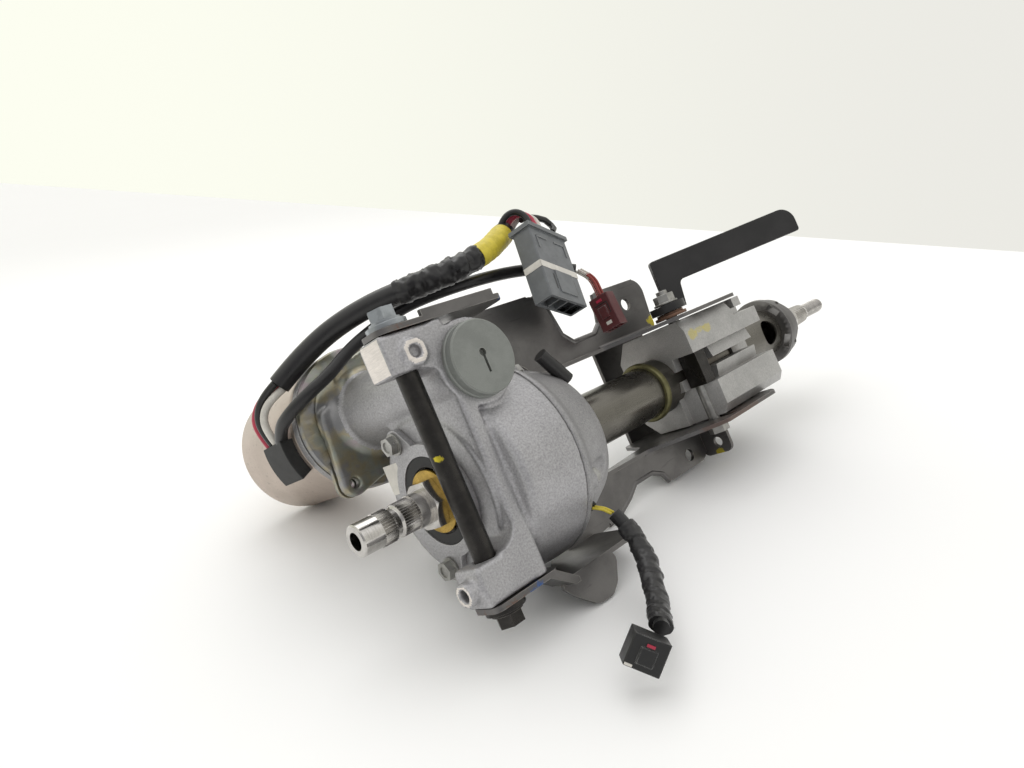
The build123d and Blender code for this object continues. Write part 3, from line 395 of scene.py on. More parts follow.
def drawn_tube():
    """Cold-drawn steel tube: grey with a greenish film of grease, faint marks along its length and painted
    shade in its corners.
    """
    return surface(
        "cold_drawn_steel", "tube", 0.84, metallic=0.85, roughness=0.28, swing=0.07, patch=30.0,
        lines=(0.05, 1.6, 1.6), scratches=0.35, painted_corner_shade="#5B4A3C",
    )


def dull_casting():
    """Sand-cast aluminium with a dull film of oil and dust, and painted shade in its corners."""
    return surface(
        "sand_cast_aluminium", "rear_cover", 0.9, metallic=0.6, roughness=0.46, swing=0.06, patch=26.0,
        grain=1.1, depth=0.3, grit=0.3, painted_corner_shade="#40352B", wear="#C9C6C2",
    )


def clamp_casting():
    """Gravity-cast aluminium: light grey, slightly grainy, with smears of yellow paint on its top cheek and
    painted shade in its corners.
    """
    smears = (
        ("yellow_paint", (270, 25.9, 41), (5, 4, 4), 0.45),
        ("yellow_paint", (279, 27, 41), (6, 2, 4), 0.35),
        ("yellow_paint", (288, 25.8, 41), (5, 3, 4), 0.45),
    )
    return surface(
        "gravity_cast_aluminium", "clamp_block", 0.9, metallic=0.6, roughness=0.44, swing=0.06, patch=20.0,
        grain=0.9, depth=0.2, grit=0.2, painted_corner_shade="#564839", wear="#CBC8C2", marks=smears,
    )


def sealing_cap():
    """Pressed steel cap over the worm bearing: dull greenish grey, almost matt, with painted shade in its
    corners.
    """
    return surface(
        "pressed_sealing_cap", "cap", 0.88, metallic=0.35, roughness=0.55, swing=0.06, patch=16.0,
        grain=0.6, depth=0.04, painted_corner_shade="#4B443B", wear="#A2A39C",
    )


def ground_steel():
    """Ground steel: bright, with fine marks round the shaft and painted dark shade in its grooves."""
    return surface(
        "ground_steel", "shaft_steel", 0.85, metallic=1.0, roughness=0.17, swing=0.05, patch=8.0,
        grain=0.3, depth=0.01, lines=(2.6, 0.02, 0.02), painted_corner_shade="#3B342E",
    )


def bolt_steel(name, base, metallic=0.85, roughness=0.34):
    """Plated bolt or washer: satin, with painted shade where it meets its seat."""
    return surface(
        name, base, 0.78, metallic=metallic, roughness=roughness, patch=6.0, grain=0.3, painted_corner_shade="#54483B"
    )


def zinc_bolt():
    """Zinc-plated bolt: satin grey."""
    return bolt_steel("zinc_plated_steel", "zinc")


def blue_zinc_bolt():
    """Blue-passivated zinc bolt: satin grey with a cold cast."""
    return bolt_steel("blue_zinc_steel", "blue_zinc")


def browned_washer():
    """Washer browned by heat and oil: duller than the zinc beside it."""
    return bolt_steel("browned_washer", "washer", metallic=0.6, roughness=0.45)


def black_oxide():
    """Black-oxide steel: nearly black, with a low oily shine, and a dot of yellow paint on the pivot rod."""
    return surface(
        "black_oxide_steel", "black_bolt", 0.7, metallic=0.8, roughness=0.3, swing=0.06, patch=8.0,
        grain=0.3, wear="#7A7671", marks=(("yellow_paint", (35, 22.4, 44), (3, 2, 4), 0.85),),
    )


def brass():
    """Turned brass, slightly tarnished, with fine rings."""
    return surface(
        "turned_brass", "brass", 0.75, metallic=0.9, roughness=0.32, patch=6.0, grain=0.3, depth=0.01,
        lines=(0.02, 1.6, 1.6),
    )


def olive_plating():
    """Olive-yellow chromate on the spring-steel tolerance ring, with painted shade in its corners."""
    return surface(
        "olive_chromate", "olive", 0.75, metallic=0.6, roughness=0.4, patch=6.0, grain=0.4, painted_corner_shade="#3E3A28"
    )


def moulded_black():
    """Glass-filled nylon, injection-moulded: black, fine grain, soft reflections."""
    return surface(
        "moulded_black_nylon", "lever", 1.5, roughness=0.38, swing=0.06, patch=20.0, depth=0.03,
        wear="#4C4A48",
    )


def rubber():
    """Moulded rubber: matt black with a grey bloom."""
    return surface("moulded_rubber", "rubber", 2.0, roughness=0.6, patch=8.0, depth=0.04)


def insulation(name, base):
    """PVC wire insulation: smooth and slightly shiny, soiled here and there."""
    return surface(f"pvc_{name}", base, 0.82, roughness=0.36, patch=9.0, grain=0.6)


def taped_sleeve():
    """Harness sleeve wrapped in vinyl-faced cloth tape: black, creased, with an oily shine."""
    return surface(
        "cloth_tape_black", "sleeve", 1.6, roughness=0.34, patch=10.0, grain=0.35, depth=0.06, sheen=0.08
    )


def marking_tape():
    """Yellow cloth tape: bright, fine weave, with painted shade in its hollows."""
    return surface("cloth_tape_yellow", "tape", 0.8, patch=8.0, grain=0.35, depth=0.06, painted_corner_shade="#5E5427")


def nylon(name, base):
    """Nylon plug housing: moulded, satin, with scuffs and painted shade in its corners."""
    return surface(
        f"nylon_{name}", base, 0.86, roughness=0.4, patch=9.0, grain=0.4, depth=0.03, scratches=0.25,
        painted_corner_shade="#2E2A27", wear="#9C9C9A",
    )


def blank_label():
    """Blank paper or white moulding: off-white and matt, a little soiled."""
    return surface("blank_white", "blank_label", 0.9, roughness=0.55, swing=0.05, patch=7.0, grain=0.4)


def bearing_steel():
    """Hardened bearing steel: bright grey."""
    return surface(
        "bearing_steel", linear("#B4B4B4"), 0.75, metallic=0.95, roughness=0.25, swing=0.05, patch=5.0,
        grain=0.3, depth=0.01,
    )


def white_nylon():
    """Machined cast nylon of the worm wheel: ivory, slightly glossy."""
    return surface("cast_nylon", linear("#D9D2BE"), 0.84, roughness=0.4, swing=0.06, patch=8.0, grain=0.4)


def copper():
    """Enamelled copper wire: dark orange, glossy."""
    return surface(
        "enamelled_copper", linear("#A85E36"), 0.6, metallic=0.8, roughness=0.3, swing=0.05, patch=3.0,
        grain=0.4, depth=0.1,
    )


def ferrite():
    """Sintered ferrite: matt charcoal."""
    return surface(
        "ferrite", linear("#37373A"), 0.7, metallic=0.1, roughness=0.6, swing=0.05, patch=5.0, depth=0.04
    )


def lamination():
    """Stacked electrical sheet: grey, with fine lines across the stack."""
    return surface(
        "electrical_sheet", linear("#8A8A8C"), 0.65, metallic=0.85, roughness=0.4, swing=0.06, patch=6.0,
        grain=0.4, lines=(0.02, 0.02, 2.0),
    )


# Geometry Nodes


def node_tree(name, inputs):
    """An empty Geometry Nodes tree with named inputs, and its group input and output nodes."""
    tree = bpy.data.node_groups.new(name, "GeometryNodeTree")
    tree.interface.new_socket("Geometry", in_out="INPUT", socket_type="NodeSocketGeometry")
    for label, kind in inputs:
        tree.interface.new_socket(label, in_out="INPUT", socket_type=kind)
    tree.interface.new_socket("Geometry", in_out="OUTPUT", socket_type="NodeSocketGeometry")
    return tree, add(tree, "NodeGroupInput").outputs


def finish_tree(tree, geometry, material):
    """Ends a tree with real instances and the material."""
    real = add(tree, "GeometryNodeRealizeInstances", {0: geometry}).outputs[0]
    done = add(tree, "GeometryNodeSetMaterial", {"Geometry": real, "Material": material}).outputs[0]
    add(tree, "NodeGroupOutput", {0: done})
    return tree


WRAP_STEP = 0.0008


def stored(tree, geometry, name, value):
    """Geometry with a value kept at each point under a name."""
    inputs = {"Geometry": geometry, "Name": name, "Value": value}
    settings = {"data_type": "FLOAT", "domain": "POINT"}
    return add(tree, "GeometryNodeStoreNamedAttribute", inputs, **settings).outputs[0]


def recalled(tree, name):
    """A value that was kept under a name."""
    return add(tree, "GeometryNodeInputNamedAttribute", {"Name": name}, data_type="FLOAT").outputs[0]


def wrap_tree():
    """A skin laid round a line: tape with laps and wrinkles, or a plain rod or bead with neither."""
    found = bpy.data.node_groups.get("wrap")
    if found:
        return found
    kinds = [(label, "NodeSocketFloat") for label in ("Radius", "Flat", "Lap", "Wrinkle")]
    tree, given = node_tree("wrap", kinds + [("Material", "NodeSocketMaterial")])
    line = add(tree, "GeometryNodeMeshToCurve", {0: given["Geometry"]}).outputs[0]
    steps = {"Curve": line, "Length": WRAP_STEP}
    even = add(tree, "GeometryNodeResampleCurve", steps, mode="LENGTH").outputs[0]
    run = add(tree, "GeometryNodeSplineParameter").outputs
    even = stored(tree, even, "along", run["Length"])
    even = add(tree, "GeometryNodeSetCurveNormal", {0: even}, mode="MINIMUM_TWIST").outputs[0]
    circle = {"Resolution": 40, "Radius": given["Radius"]}
    ring = add(tree, "GeometryNodeCurvePrimitiveCircle", circle).outputs[0]
    squeeze = add(tree, "ShaderNodeCombineXYZ", {0: 1.0, 1: given["Flat"], 2: 1.0}).outputs[0]
    ring = add(tree, "GeometryNodeTransform", {"Geometry": ring, "Scale": squeeze}).outputs[0]
    ring = stored(tree, ring, "around", run["Factor"])
    sweep = {"Curve": even, "Profile Curve": ring, "Fill Caps": True}
    skin = add(tree, "GeometryNodeCurveToMesh", sweep).outputs[0]
    laps = math_of(tree, "DIVIDE", recalled(tree, "along"), given["Lap"])
    turns = math_of(tree, "ADD", laps, recalled(tree, "around"))
    lap = math_of(tree, "FRACT", turns, 0.0)
    where = add(tree, "GeometryNodeInputPosition").outputs[0]
    fold = ramp(tree, noise(tree, where, 7.0, Detail=3.0), 0.35, 0.65, -1.0, 1.0)
    height = math_of(tree, "MULTIPLY", math_of(tree, "ADD", lap, fold), given["Wrinkle"])
    normal = add(tree, "GeometryNodeInputNormal").outputs[0]
    push = add(tree, "ShaderNodeVectorMath", {0: normal, "Scale": height}, operation="SCALE").outputs[0]
    skin = add(tree, "GeometryNodeSetPosition", {"Geometry": skin, "Offset": push}).outputs[0]
    skin = add(tree, "GeometryNodeSetShadeSmooth", {0: skin}).outputs[0]
    return finish_tree(tree, skin, given["Material"])


def row_tree():
    """A row of equal blocks, such as contacts, slots or ribs of a plug."""
    found = bpy.data.node_groups.get("row")
    if found:
        return found
    kinds = [(label, "NodeSocketVector") for label in ("Start", "Step", "Size")]
    kinds = [("Count", "NodeSocketInt"), *kinds, ("Material", "NodeSocketMaterial")]
    tree, given = node_tree("row", kinds)
    places = {"Count": given["Count"], "Start Location": given["Start"], "Offset": given["Step"]}
    line = add(tree, "GeometryNodeMeshLine", places, mode="OFFSET").outputs[0]
    block = add(tree, "GeometryNodeMeshCube", {"Size": given["Size"]}).outputs[0]
    blocks = add(tree, "GeometryNodeInstanceOnPoints", {"Points": line, "Instance": block}).outputs[0]
    return finish_tree(tree, blocks, given["Material"])


def grown(tree, seed, values):
    """The mesh that a tree makes from a seed mesh, with its inputs set by name."""
    holder = placed("seed", seed)
    modifier = holder.modifiers.new("nodes", "NODES")
    modifier.node_group = tree
    for item in tree.interface.items_tree:
        if item.item_type == "SOCKET" and item.in_out == "INPUT" and item.name in values:
            modifier[item.identifier] = values[item.name]
    return solid_mesh(holder)


def line_mesh(points):
    """A mesh of edges through points."""
    mesh = bpy.data.meshes.new("line")
    mesh.from_pydata(points, [(i, i + 1) for i in range(len(points) - 1)], [])
    return mesh


def wrap(name, points, radius, material, body="column", flat=1.0, lap=None, wrinkle=0.0):
    """A piece that follows a line: a tape wrap, a rod, a rolled lip or a thread's crest."""
    lap = lap or bpy.context.scene.column_sizes.loom
    values = {"Radius": radius, "Flat": flat, "Lap": lap, "Wrinkle": wrinkle, "Material": material}
    return piece(name, grown(wrap_tree(), line_mesh(points), values), body)


def row(name, place, count, start, step, size, material):
    """A row of blocks in millimetres in a plug's own axes."""
    inputs = {"Start": start, "Step": step, "Size": size}
    values = {key: tuple(v / 1000 for v in value) for key, value in inputs.items()}
    values.update(Count=count, Material=material)
    mesh = grown(row_tree(), line_mesh([(0, 0, 0), (0, 0, 0.001)]), values)
    mesh.transform(place)
    return piece(name, mesh, "column")


# Piece building

# Points closer than this are one, and faces that turn by less than this are one flat face
JOIN_DISTANCE = 2e-6
FLAT_ANGLE = math.radians(0.6)
# Edges that turn by more than this are broken
EDGE_ANGLE = math.radians(32.0)
# Share of a rounded casting's faces that stays
CAST_SHARE = 0.55


def merged(node):
    """A CAD node's shape as one joined mesh with flat faces made whole."""
    shape = bmesh.new()
    shape.from_mesh(frame["nodes"][node].data)
    bmesh.ops.remove_doubles(shape, verts=shape.verts, dist=JOIN_DISTANCE)
    bmesh.ops.dissolve_limit(shape, angle_limit=FLAT_ANGLE, verts=shape.verts, edges=shape.edges)
    mesh = bpy.data.meshes.new(node)
    shape.to_mesh(mesh)
    shape.free()
    return mesh


def piece(name, mesh, body, *materials):
    """Links a mesh as a piece of the object that rides on a body."""
    for material in materials:
        mesh.materials.append(material)
    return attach(placed(name, mesh), body)


def body_of(node):
    """The body that a CAD node rides on."""
    return frame["nodes"][node]["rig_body"]


def give_faces(mesh, rule):
    """Sets each face's material slot by a rule on its place in millimetres and direction."""
    for face in mesh.polygons:
        face.material_index = int(rule(face.center * 1000, face.normal))


def dress(node, material, edge=None, other=None, rule=None):
    """Stands a merged copy with broken edges in for a CAD node, with another finish where a rule says."""
    mesh = merged(node)
    if other:
        mesh.transform(ROLL.inverted())
        give_faces(mesh, rule)
        mesh.transform(ROLL)
    mesh.shade_smooth()
    obj = piece(f"{node}_dressed", mesh, body_of(node), *filter(None, (material, other)))
    bevel = obj.modifiers.new("edge", "BEVEL")
    bevel.width = edge or bpy.context.scene.column_sizes.edge
    bevel.segments = 2
    bevel.limit_method = "ANGLE"
    bevel.angle_limit = EDGE_ANGLE
    bevel.miter_outer = "MITER_ARC"
    normals = obj.modifiers.new("flat_faces", "WEIGHTED_NORMAL")
    normals.keep_sharp = True
    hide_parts(node)
    return obj


def rounded_casting(node, detail):
    """The node's shape with cast radii in all its corners, in the column's own axes, in metres."""
    mesh = merged(node)
    mesh.transform(ROLL.inverted())
    holder = placed(f"{node}_rough", mesh)
    remesh = holder.modifiers.new("voxels", "REMESH")
    remesh.mode = "VOXEL"
    remesh.voxel_size = detail
    smooth = holder.modifiers.new("radii", "SMOOTH")
    smooth.factor = 0.5
    smooth.iterations = 5
    fewer = holder.modifiers.new("fewer", "DECIMATE")
    fewer.ratio = CAST_SHARE
    result = solid_mesh(holder)
    result.shade_smooth()
    return result


def cast_piece(node, rule, *materials):
    """Casting with rounded corners whose machined or plated faces are told by a rule."""
    mesh = rounded_casting(node, bpy.context.scene.column_sizes.cast_edge)
    give_faces(mesh, rule)
    mesh.transform(ROLL)
    obj = piece(f"{node}_dressed", mesh, body_of(node), *materials)
    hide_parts(node)
    return obj


# Where the housing is machined or plated, in millimetres in the column's axes
MOTOR_SIDE = -61.5
LUG_FRONT, LUG_INNER = 26.5, 60
BOSS_FRONT = 19.5
TOP_LEVEL, TOP_CENTRE, TOP_RADIUS = 51.5, Vector((43, 76)), 22
NEAR = 0.7
# A face looks along an axis when this much of its direction does
ALONG = 0.97


def housing_faces(place, normal):
    """Slot 1 for the milled lug front, boss and top boss, slot 2 for the plated motor side."""
    x, y, z = place
    if z < MOTOR_SIDE:
        return 2
    lug = abs(x - LUG_FRONT) < NEAR and y > LUG_INNER
    front = normal.x < -ALONG and (lug or abs(x - BOSS_FRONT) < NEAR)
    top = normal.z > ALONG and z > TOP_LEVEL and (Vector((x, y)) - TOP_CENTRE).length < TOP_RADIUS
    return int(front or top)


def curve_of(name, route):
    """A smooth curve through a cord's points."""
    curve = bpy.data.curves.new(name, "CURVE")
    curve.dimensions = "3D"
    curve.resolution_u = 12
    spline = curve.splines.new("NURBS")
    spline.points.add(len(route) - 1)
    for point, place in zip(spline.points, route):
        point.co = (*resting(place), 1.0)
    spline.order_u = 3
    spline.use_endpoint_u = True
    return curve


def centre_line(route):
    """Places along a route's smooth curve, as it lies on the bench."""
    curve = curve_of("line", route)
    mesh = solid_mesh(placed("line", curve))
    line = [v.co.copy() for v in mesh.vertices]
    bpy.data.curves.remove(curve)
    bpy.data.meshes.remove(mesh)
    return line


def run_length(line):
    """Length of a line through points."""
    return sum((b - a).length for a, b in zip(line, line[1:]))


def stretch_of(line, start, end):
    """The part of a line between two fractions of its length."""
    total = run_length(line)
    first, last = start * total, end * total
    kept = []
    done = 0.0
    for a, b in zip(line, line[1:]):
        step = (b - a).length
        for edge in (first, last):
            if done <= edge < done + step:
                kept.append(a.lerp(b, (edge - done) / step))
        done += step
        if first < done < last:
            kept.append(b.copy())
    return kept


def lay_cord(name, route, thickness, material, stands_for, **facts):
    """A cord along its route as one smooth curve."""
    curve = curve_of(name, route)
    curve.bevel_depth = thickness / 2
    curve.bevel_resolution = 5
    curve.use_fill_caps = True
    curve.materials.append(material)
    obj = placed(name, curve)
    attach(obj, "column")
    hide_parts(stands_for)
    total = run_length(centre_line(route))
    return obj


# Cord routes in the column's axes, in metres
POWER_ROUTE = [
    (0.037, 0.099, -0.090), (0.058, 0.114, -0.074), (0.086, 0.1225, -0.044), (0.113, 0.121, -0.012),
    (0.138, 0.122, 0.003), (0.163, 0.128, 0.004), (0.1845, 0.1375, -0.003),
]
RED_ROUTE = [
    (0.0273, 0.065, -0.1155), (0.024, 0.076, -0.116), (0.0235, 0.087, -0.1135), (0.0295, 0.0965, -0.1035),
    (0.0385, 0.1001, -0.093),
]
BLACK_ROUTE = [
    (0.0273, 0.065, -0.1102), (0.0236, 0.076, -0.110), (0.0228, 0.0865, -0.1065), (0.027, 0.096, -0.0975),
    (0.0343, 0.1007, -0.0883),
]
WHITE_ROUTE = [
    (0.0273, 0.065, -0.1049), (0.0236, 0.0755, -0.104), (0.0236, 0.0855, -0.0995), (0.0292, 0.0925, -0.0932),
    (0.038, 0.096, -0.0883),
]
TAIL_ROUTE = [
    (0.1845, 0.1375, -0.003), (0.1885, 0.1435, 0.0005), (0.1938, 0.145, 0.0065), (0.1972, 0.1395, 0.0114),
    (0.1958, 0.1318, 0.0132), (0.1937, 0.1254, 0.0146),
]
TAIL_SPACING = Vector((0.0049, -0.00185, -0.00125))
SIGNAL_ROUTE = [
    (0.0273, 0.065, -0.098), (0.0248, 0.0725, -0.088), (0.0275, 0.0785, -0.073), (0.0385, 0.085, -0.0615),
    (0.053, 0.091, -0.056), (0.067, 0.0995, -0.053), (0.080, 0.1055, -0.047), (0.105, 0.1135, -0.0375),
    (0.121, 0.1145, -0.026), (0.142, 0.1135, -0.013), (0.168, 0.1125, -0.009), (0.190, 0.110, -0.006),
    (0.208, 0.1045, 0.002), (0.2185, 0.097, 0.011),
]
SENSOR_ROUTE = [
    (0.123, -0.046, 0.052), (0.1245, -0.057, 0.057), (0.1215, -0.068, 0.063), (0.113, -0.077, 0.071),
    (0.102, -0.084, 0.079), (0.0895, -0.090, 0.089), (0.077, -0.0915, 0.099),
]
LOOP_LINE = [
    (0.195, 0.1406, 0.005), (0.2035, 0.1412, 0.0045), (0.210, 0.1395, 0.005), (0.2165, 0.1368, 0.005),
    (0.220, 0.1325, 0.005), (0.2185, 0.1290, 0.0075), (0.213, 0.1264, 0.010),
]

# Rolled lips of the bracket, in the column's axes, in metres
UPPER_LIP = [
    (0.182, 0.0898), (0.190, 0.082), (0.194, 0.060), (0.202, 0.0525), (0.224, 0.0525), (0.232, 0.058),
    (0.236, 0.070), (0.238, 0.0785),
]
LOWER_LIP = [
    (0.166, -0.0652), (0.176, -0.0645), (0.192, -0.058), (0.203, -0.0512), (0.222, -0.0512), (0.232, -0.056),
    (0.236, -0.063),
]
FLANGE_LEVEL = -0.0013


def plug_axes(origin, across, front):
    """Matrix from a plug's own axes, X across and Z out of its front, to the bench."""
    z = Vector(front).normalized()
    y = z.cross(Vector(across)).normalized()
    x = y.cross(z)
    turn = Matrix((x, y, z)).transposed().to_4x4()
    return ROLL @ Matrix.Translation(Vector(origin) / 1000) @ turn


GREY_AXES = plug_axes((185.6, 100.5, 20), (0.909, -0.347, -0.23), (0.285, 0.111, 0.944))
BROWN_AXES = plug_axes((219.5, 61.9, 22), (0.239, 0.11, 0.963), (-0.968, 0.111, 0.224))
BLACK_AXES = plug_axes((61, -94, 100), (0.536, -0.709, 0.457), (-0.651, 0, 0.759))


def blocks(name, place, boxes, material):
    """Small moulded blocks, each from its low to its high corner in millimetres in a plug's own axes."""
    shape = bmesh.new()
    for low, high in boxes:
        middle = (Vector(low) + Vector(high)) / 2000
        size = (Vector(high) - Vector(low)) / 1000
        matrix = Matrix.Translation(middle) @ Matrix.Diagonal((*size, 1.0))
        bmesh.ops.create_cube(shape, size=1.0, matrix=matrix)
    mesh = bpy.data.meshes.new(name)
    shape.to_mesh(mesh)
    shape.free()
    mesh.transform(place)
    return piece(name, mesh, "column", material)


# Operators


class STEERING_OT_gear_housing(bpy.types.Operator):
    """Rounds and finishes the gear housing casting and its covers"""

    bl_idname = "steering.gear_housing"
    bl_label = "Gear housing"

    def execute(self, context):
        cast_piece("gear_housing", housing_faces, casting(), milled(), yellow_zinc())
        cast_piece("rear_cover", lambda *_: 0, dull_casting())
        dress("front_cover", casting(), context.scene.column_sizes.pressed_edge)
        dress("worm_end_cap", sealing_cap())
        blocks("blank_sticker", ROLL, [((55.1, 9, -44), (55.45, 27, -28))], blank_label())
        return {"FINISHED"}


class STEERING_OT_bracket(bpy.types.Operator):
    """Finishes the pressed mounting bracket and its rolled lips"""

    bl_idname = "steering.bracket"
    bl_label = "Mounting bracket"

    def execute(self, context):
        sizes = context.scene.column_sizes
        dress("mounting_bracket", pressed_steel(), sizes.pressed_edge)
        for name, outline in (("upper_lip", UPPER_LIP), ("lower_lip", LOWER_LIP)):
            line = [resting((x, y, FLANGE_LEVEL)) for x, y in outline]
            wrap(name, line, sizes.lip, pressed_steel(), body_of("mounting_bracket"))
        return {"FINISHED"}


class STEERING_OT_pivot(bpy.types.Operator):
    """Finishes the tilt pivot rod with its bolts and washers"""

    bl_idname = "steering.pivot"
    bl_label = "Tilt pivot"

    def execute(self, context):
        dress("pivot_rod", black_oxide())
        for node in ("pivot_bolts", "pivot_washers"):
            dress(node, blue_zinc_bolt(), other=black_oxide(), rule=lambda place, _: place.y < 0)
        return {"FINISHED"}


class STEERING_OT_fasteners(bpy.types.Operator):
    """Finishes the cover bolts and screws"""

    bl_idname = "steering.fasteners"
    bl_label = "Cover bolts"

    def execute(self, context):
        for node in ("cover_bolts", "rear_cover_screws"):
            dress(node, zinc_bolt())
        return {"FINISHED"}


# The wheel nut's thread: where it runs along the column, in metres, and the points in one turn
THREAD_START, THREAD_END = 0.4908, 0.5188
TURN_POINTS = 24


class STEERING_OT_shaft_line(bpy.types.Operator):
    """Finishes the output shaft, nut, rings, steering shaft and shaft bearing"""

    bl_idname = "steering.shaft_line"
    bl_label = "Shaft line"

    thread_pitch: length("Thread pitch", 0.00125, "Pitch of the wheel nut's thread")
    thread_radius: length("Thread radius", 0.006, "Radius of the wheel nut's thread")

    def execute(self, context):
        fine = context.scene.column_sizes.sharp_edge
        for node in ("output_shaft", "torsion_bar", "steering_shaft"):
            dress(node, ground_steel(), fine)
        dress("lock_nut", ground_steel())
        dress("brass_ring", brass())
        dress("seal_ring", rubber())
        for node in ("shaft_bearing_outer", "shaft_bearing_inner", "shaft_bearing_rollers", "top_bearing"):
            dress(node, bearing_steel())
        points = []
        for i in range(int((THREAD_END - THREAD_START) / self.thread_pitch * TURN_POINTS)):
            angle = math.tau * i / TURN_POINTS
            y, z = self.thread_radius * math.cos(angle), self.thread_radius * math.sin(angle)
            points.append(resting((THREAD_START + self.thread_pitch * i / TURN_POINTS, y, z)))
        crest = self.thread_pitch * 0.22
        wrap("wheel_thread_crest", points, crest, ground_steel(), body_of("steering_shaft"))
        return {"FINISHED"}


class STEERING_OT_worm_drive(bpy.types.Operator):
    """Finishes the worm shaft, worm wheel and their bearings"""

    bl_idname = "steering.worm_drive"
    bl_label = "Worm drive"

    def execute(self, context):
        fine = context.scene.column_sizes.sharp_edge
        dress("worm_shaft", ground_steel(), fine)
        dress("worm_wheel_hub", ground_steel())
        dress("worm_wheel_ring", white_nylon(), fine)
        dress("rotor_bearings", bearing_steel())
        return {"FINISHED"}


class STEERING_OT_tubes(bpy.types.Operator):
    """Finishes the column tubes and their rings"""

    bl_idname = "steering.tubes"
    bl_label = "Column tubes"

    def execute(self, context):
        for node in ("lower_tube", "upper_tube"):
            dress(node, drawn_tube())
        dress("tolerance_ring", olive_plating())
        dress("wheel_end_collar", pressed_steel(), context.scene.column_sizes.pressed_edge)
        dress("sensor_coil", moulded_black())
        return {"FINISHED"}


class STEERING_OT_clamp(bpy.types.Operator):
    """Finishes the clamp block, its bolt, nut and washers, and the tilt lever"""

    bl_idname = "steering.clamp"
    bl_label = "Tilt clamp"

    def execute(self, context):
        soft = context.scene.column_sizes.pressed_edge
        dress("clamp_block", clamp_casting(), soft)
        dress("stopper_plate", black_oxide())
        dress("clamp_bolt", zinc_bolt())
        dress("clamp_washers", browned_washer())
        dress("clamp_nut", zinc_bolt())
        dress("tilt_lever", moulded_black(), soft)
        return {"FINISHED"}


class STEERING_OT_motor(bpy.types.Operator):
    """Finishes the motor shell and what is inside it"""

    bl_idname = "steering.motor"
    bl_label = "Motor"

    def execute(self, context):
        soft = context.scene.column_sizes.pressed_edge
        dress("motor_adapter", yellow_zinc())
        dress("motor_ring", dull_casting())
        dress("motor_can", nickel_can(), soft)
        dress("grommets", rubber(), soft)
        dress("magnets", ferrite())
        dress("rotor_core", lamination())
        dress("rotor_shaft", ground_steel())
        dress("rotor_windings", copper(), soft)
        dress("brush_gear", moulded_black())
        dress("brushes", ferrite())
        return {"FINISHED"}


def grey_plug():
    """Twelve-way grey plug with its white stripe, latch grooves and contact insert."""
    grey = nylon("grey", "grey_plug")
    white = blank_label()
    stripe = [((-19.75, -5.9, 7.0), (19.75, -1.4, 7.22)), ((-19.75, -5.9, -6.6), (-19.52, -1.4, 7.22))]
    grooves = [((-9.8, -20, 6.9), (-8.6, -9, 7.12)), ((11.4, -20, 6.9), (12.6, -9, 7.12))]
    ribs = [
        ((-15, 17.2, 6.9), (-4, 18.2, 7.5)), ((-15, 9, 6.9), (-14, 18.2, 7.5)),
        ((4, 17.2, 6.9), (15, 18.2, 7.5)), ((14, 9, 6.9), (15, 18.2, 7.5)),
    ]
    parts = [
        dress("grey_connector", grey),
        blocks("grey_plug_stripe", GREY_AXES, stripe, white),
        blocks("grey_plug_grooves", GREY_AXES, grooves, moulded_black()),
        blocks("grey_plug_ribs", GREY_AXES, ribs, grey),
    ]
    for side in (-1, 1):
        name = f"grey_plug_contacts_{side + 1}"
        first = (-14.4, -15, 2.3 * side)
        parts.append(row(name, GREY_AXES, 8, first, (4.1, 0, 0), (2.2, 14, 1.6), white))
    return parts


def brown_plug():
    """Brown-red plug with a pale mark, a dark latch line and a small red lock."""
    mark = [((-2, -8.6, 4.9), (2.2, -6.4, 5.1))]
    line = [((-5, 5.6, 4.9), (5, 6.3, 5.1)), ((4.4, -2, 4.9), (5, 6.3, 5.1))]
    lock = [((-2.2, 7.6, 4.8), (2.2, 9.4, 5.3))]
    return [
        dress("brown_connector", nylon("brown", "brown_plug")),
        blocks("brown_plug_mark", BROWN_AXES, mark, blank_label()),
        blocks("brown_plug_latch_line", BROWN_AXES, line, moulded_black()),
        blocks("brown_plug_lock", BROWN_AXES, lock, insulation("red", "red_wire")),
    ]


def black_plug():
    """Black sensor plug with a white contact insert and a small red lock."""
    insert = [((-7.2, -5.6, -4.6), (7.2, 0.4, 4.6))]
    lock = [((-2, 3.6, 6.4), (2, 5.0, 6.9))]
    strip = [((-8.6, -7.6, 6.45), (-4.8, -6.4, 6.7))]
    parts = [
        dress("black_connector", nylon("black", "rubber")),
        blocks("black_plug_insert", BLACK_AXES, insert, blank_label()),
        blocks("black_plug_lock", BLACK_AXES, lock, insulation("red", "red_wire")),
        blocks("black_plug_strip", BLACK_AXES, strip, blank_label()),
    ]
    for side in (-1, 1):
        name = f"black_plug_contacts_{side + 1}"
        first = (-5.6, -5.6, 1.9 * side)
        parts.append(row(name, BLACK_AXES, 6, first, (2.24, 0, 0), (1.2, 0.4, 1.4), moulded_black()))
    return parts


# Where tape is wound on the cables, as shares of a cable's length
POWER_TAPE = (0.50, 0.79)
YELLOW_BAND = (0.79, 0.97)
SENSOR_TAPE = (0.1, 0.96)
# Radius of a wrap as a share of its cable's thickness
SNUG, PROUD = 0.515, 0.53
LOOP_RADIUS = 0.0021
# Thin wires above one height are brown-red, sensor wires before one place white, in millimetres
BROWN_ABOVE, WHITE_BEFORE = 17, 70


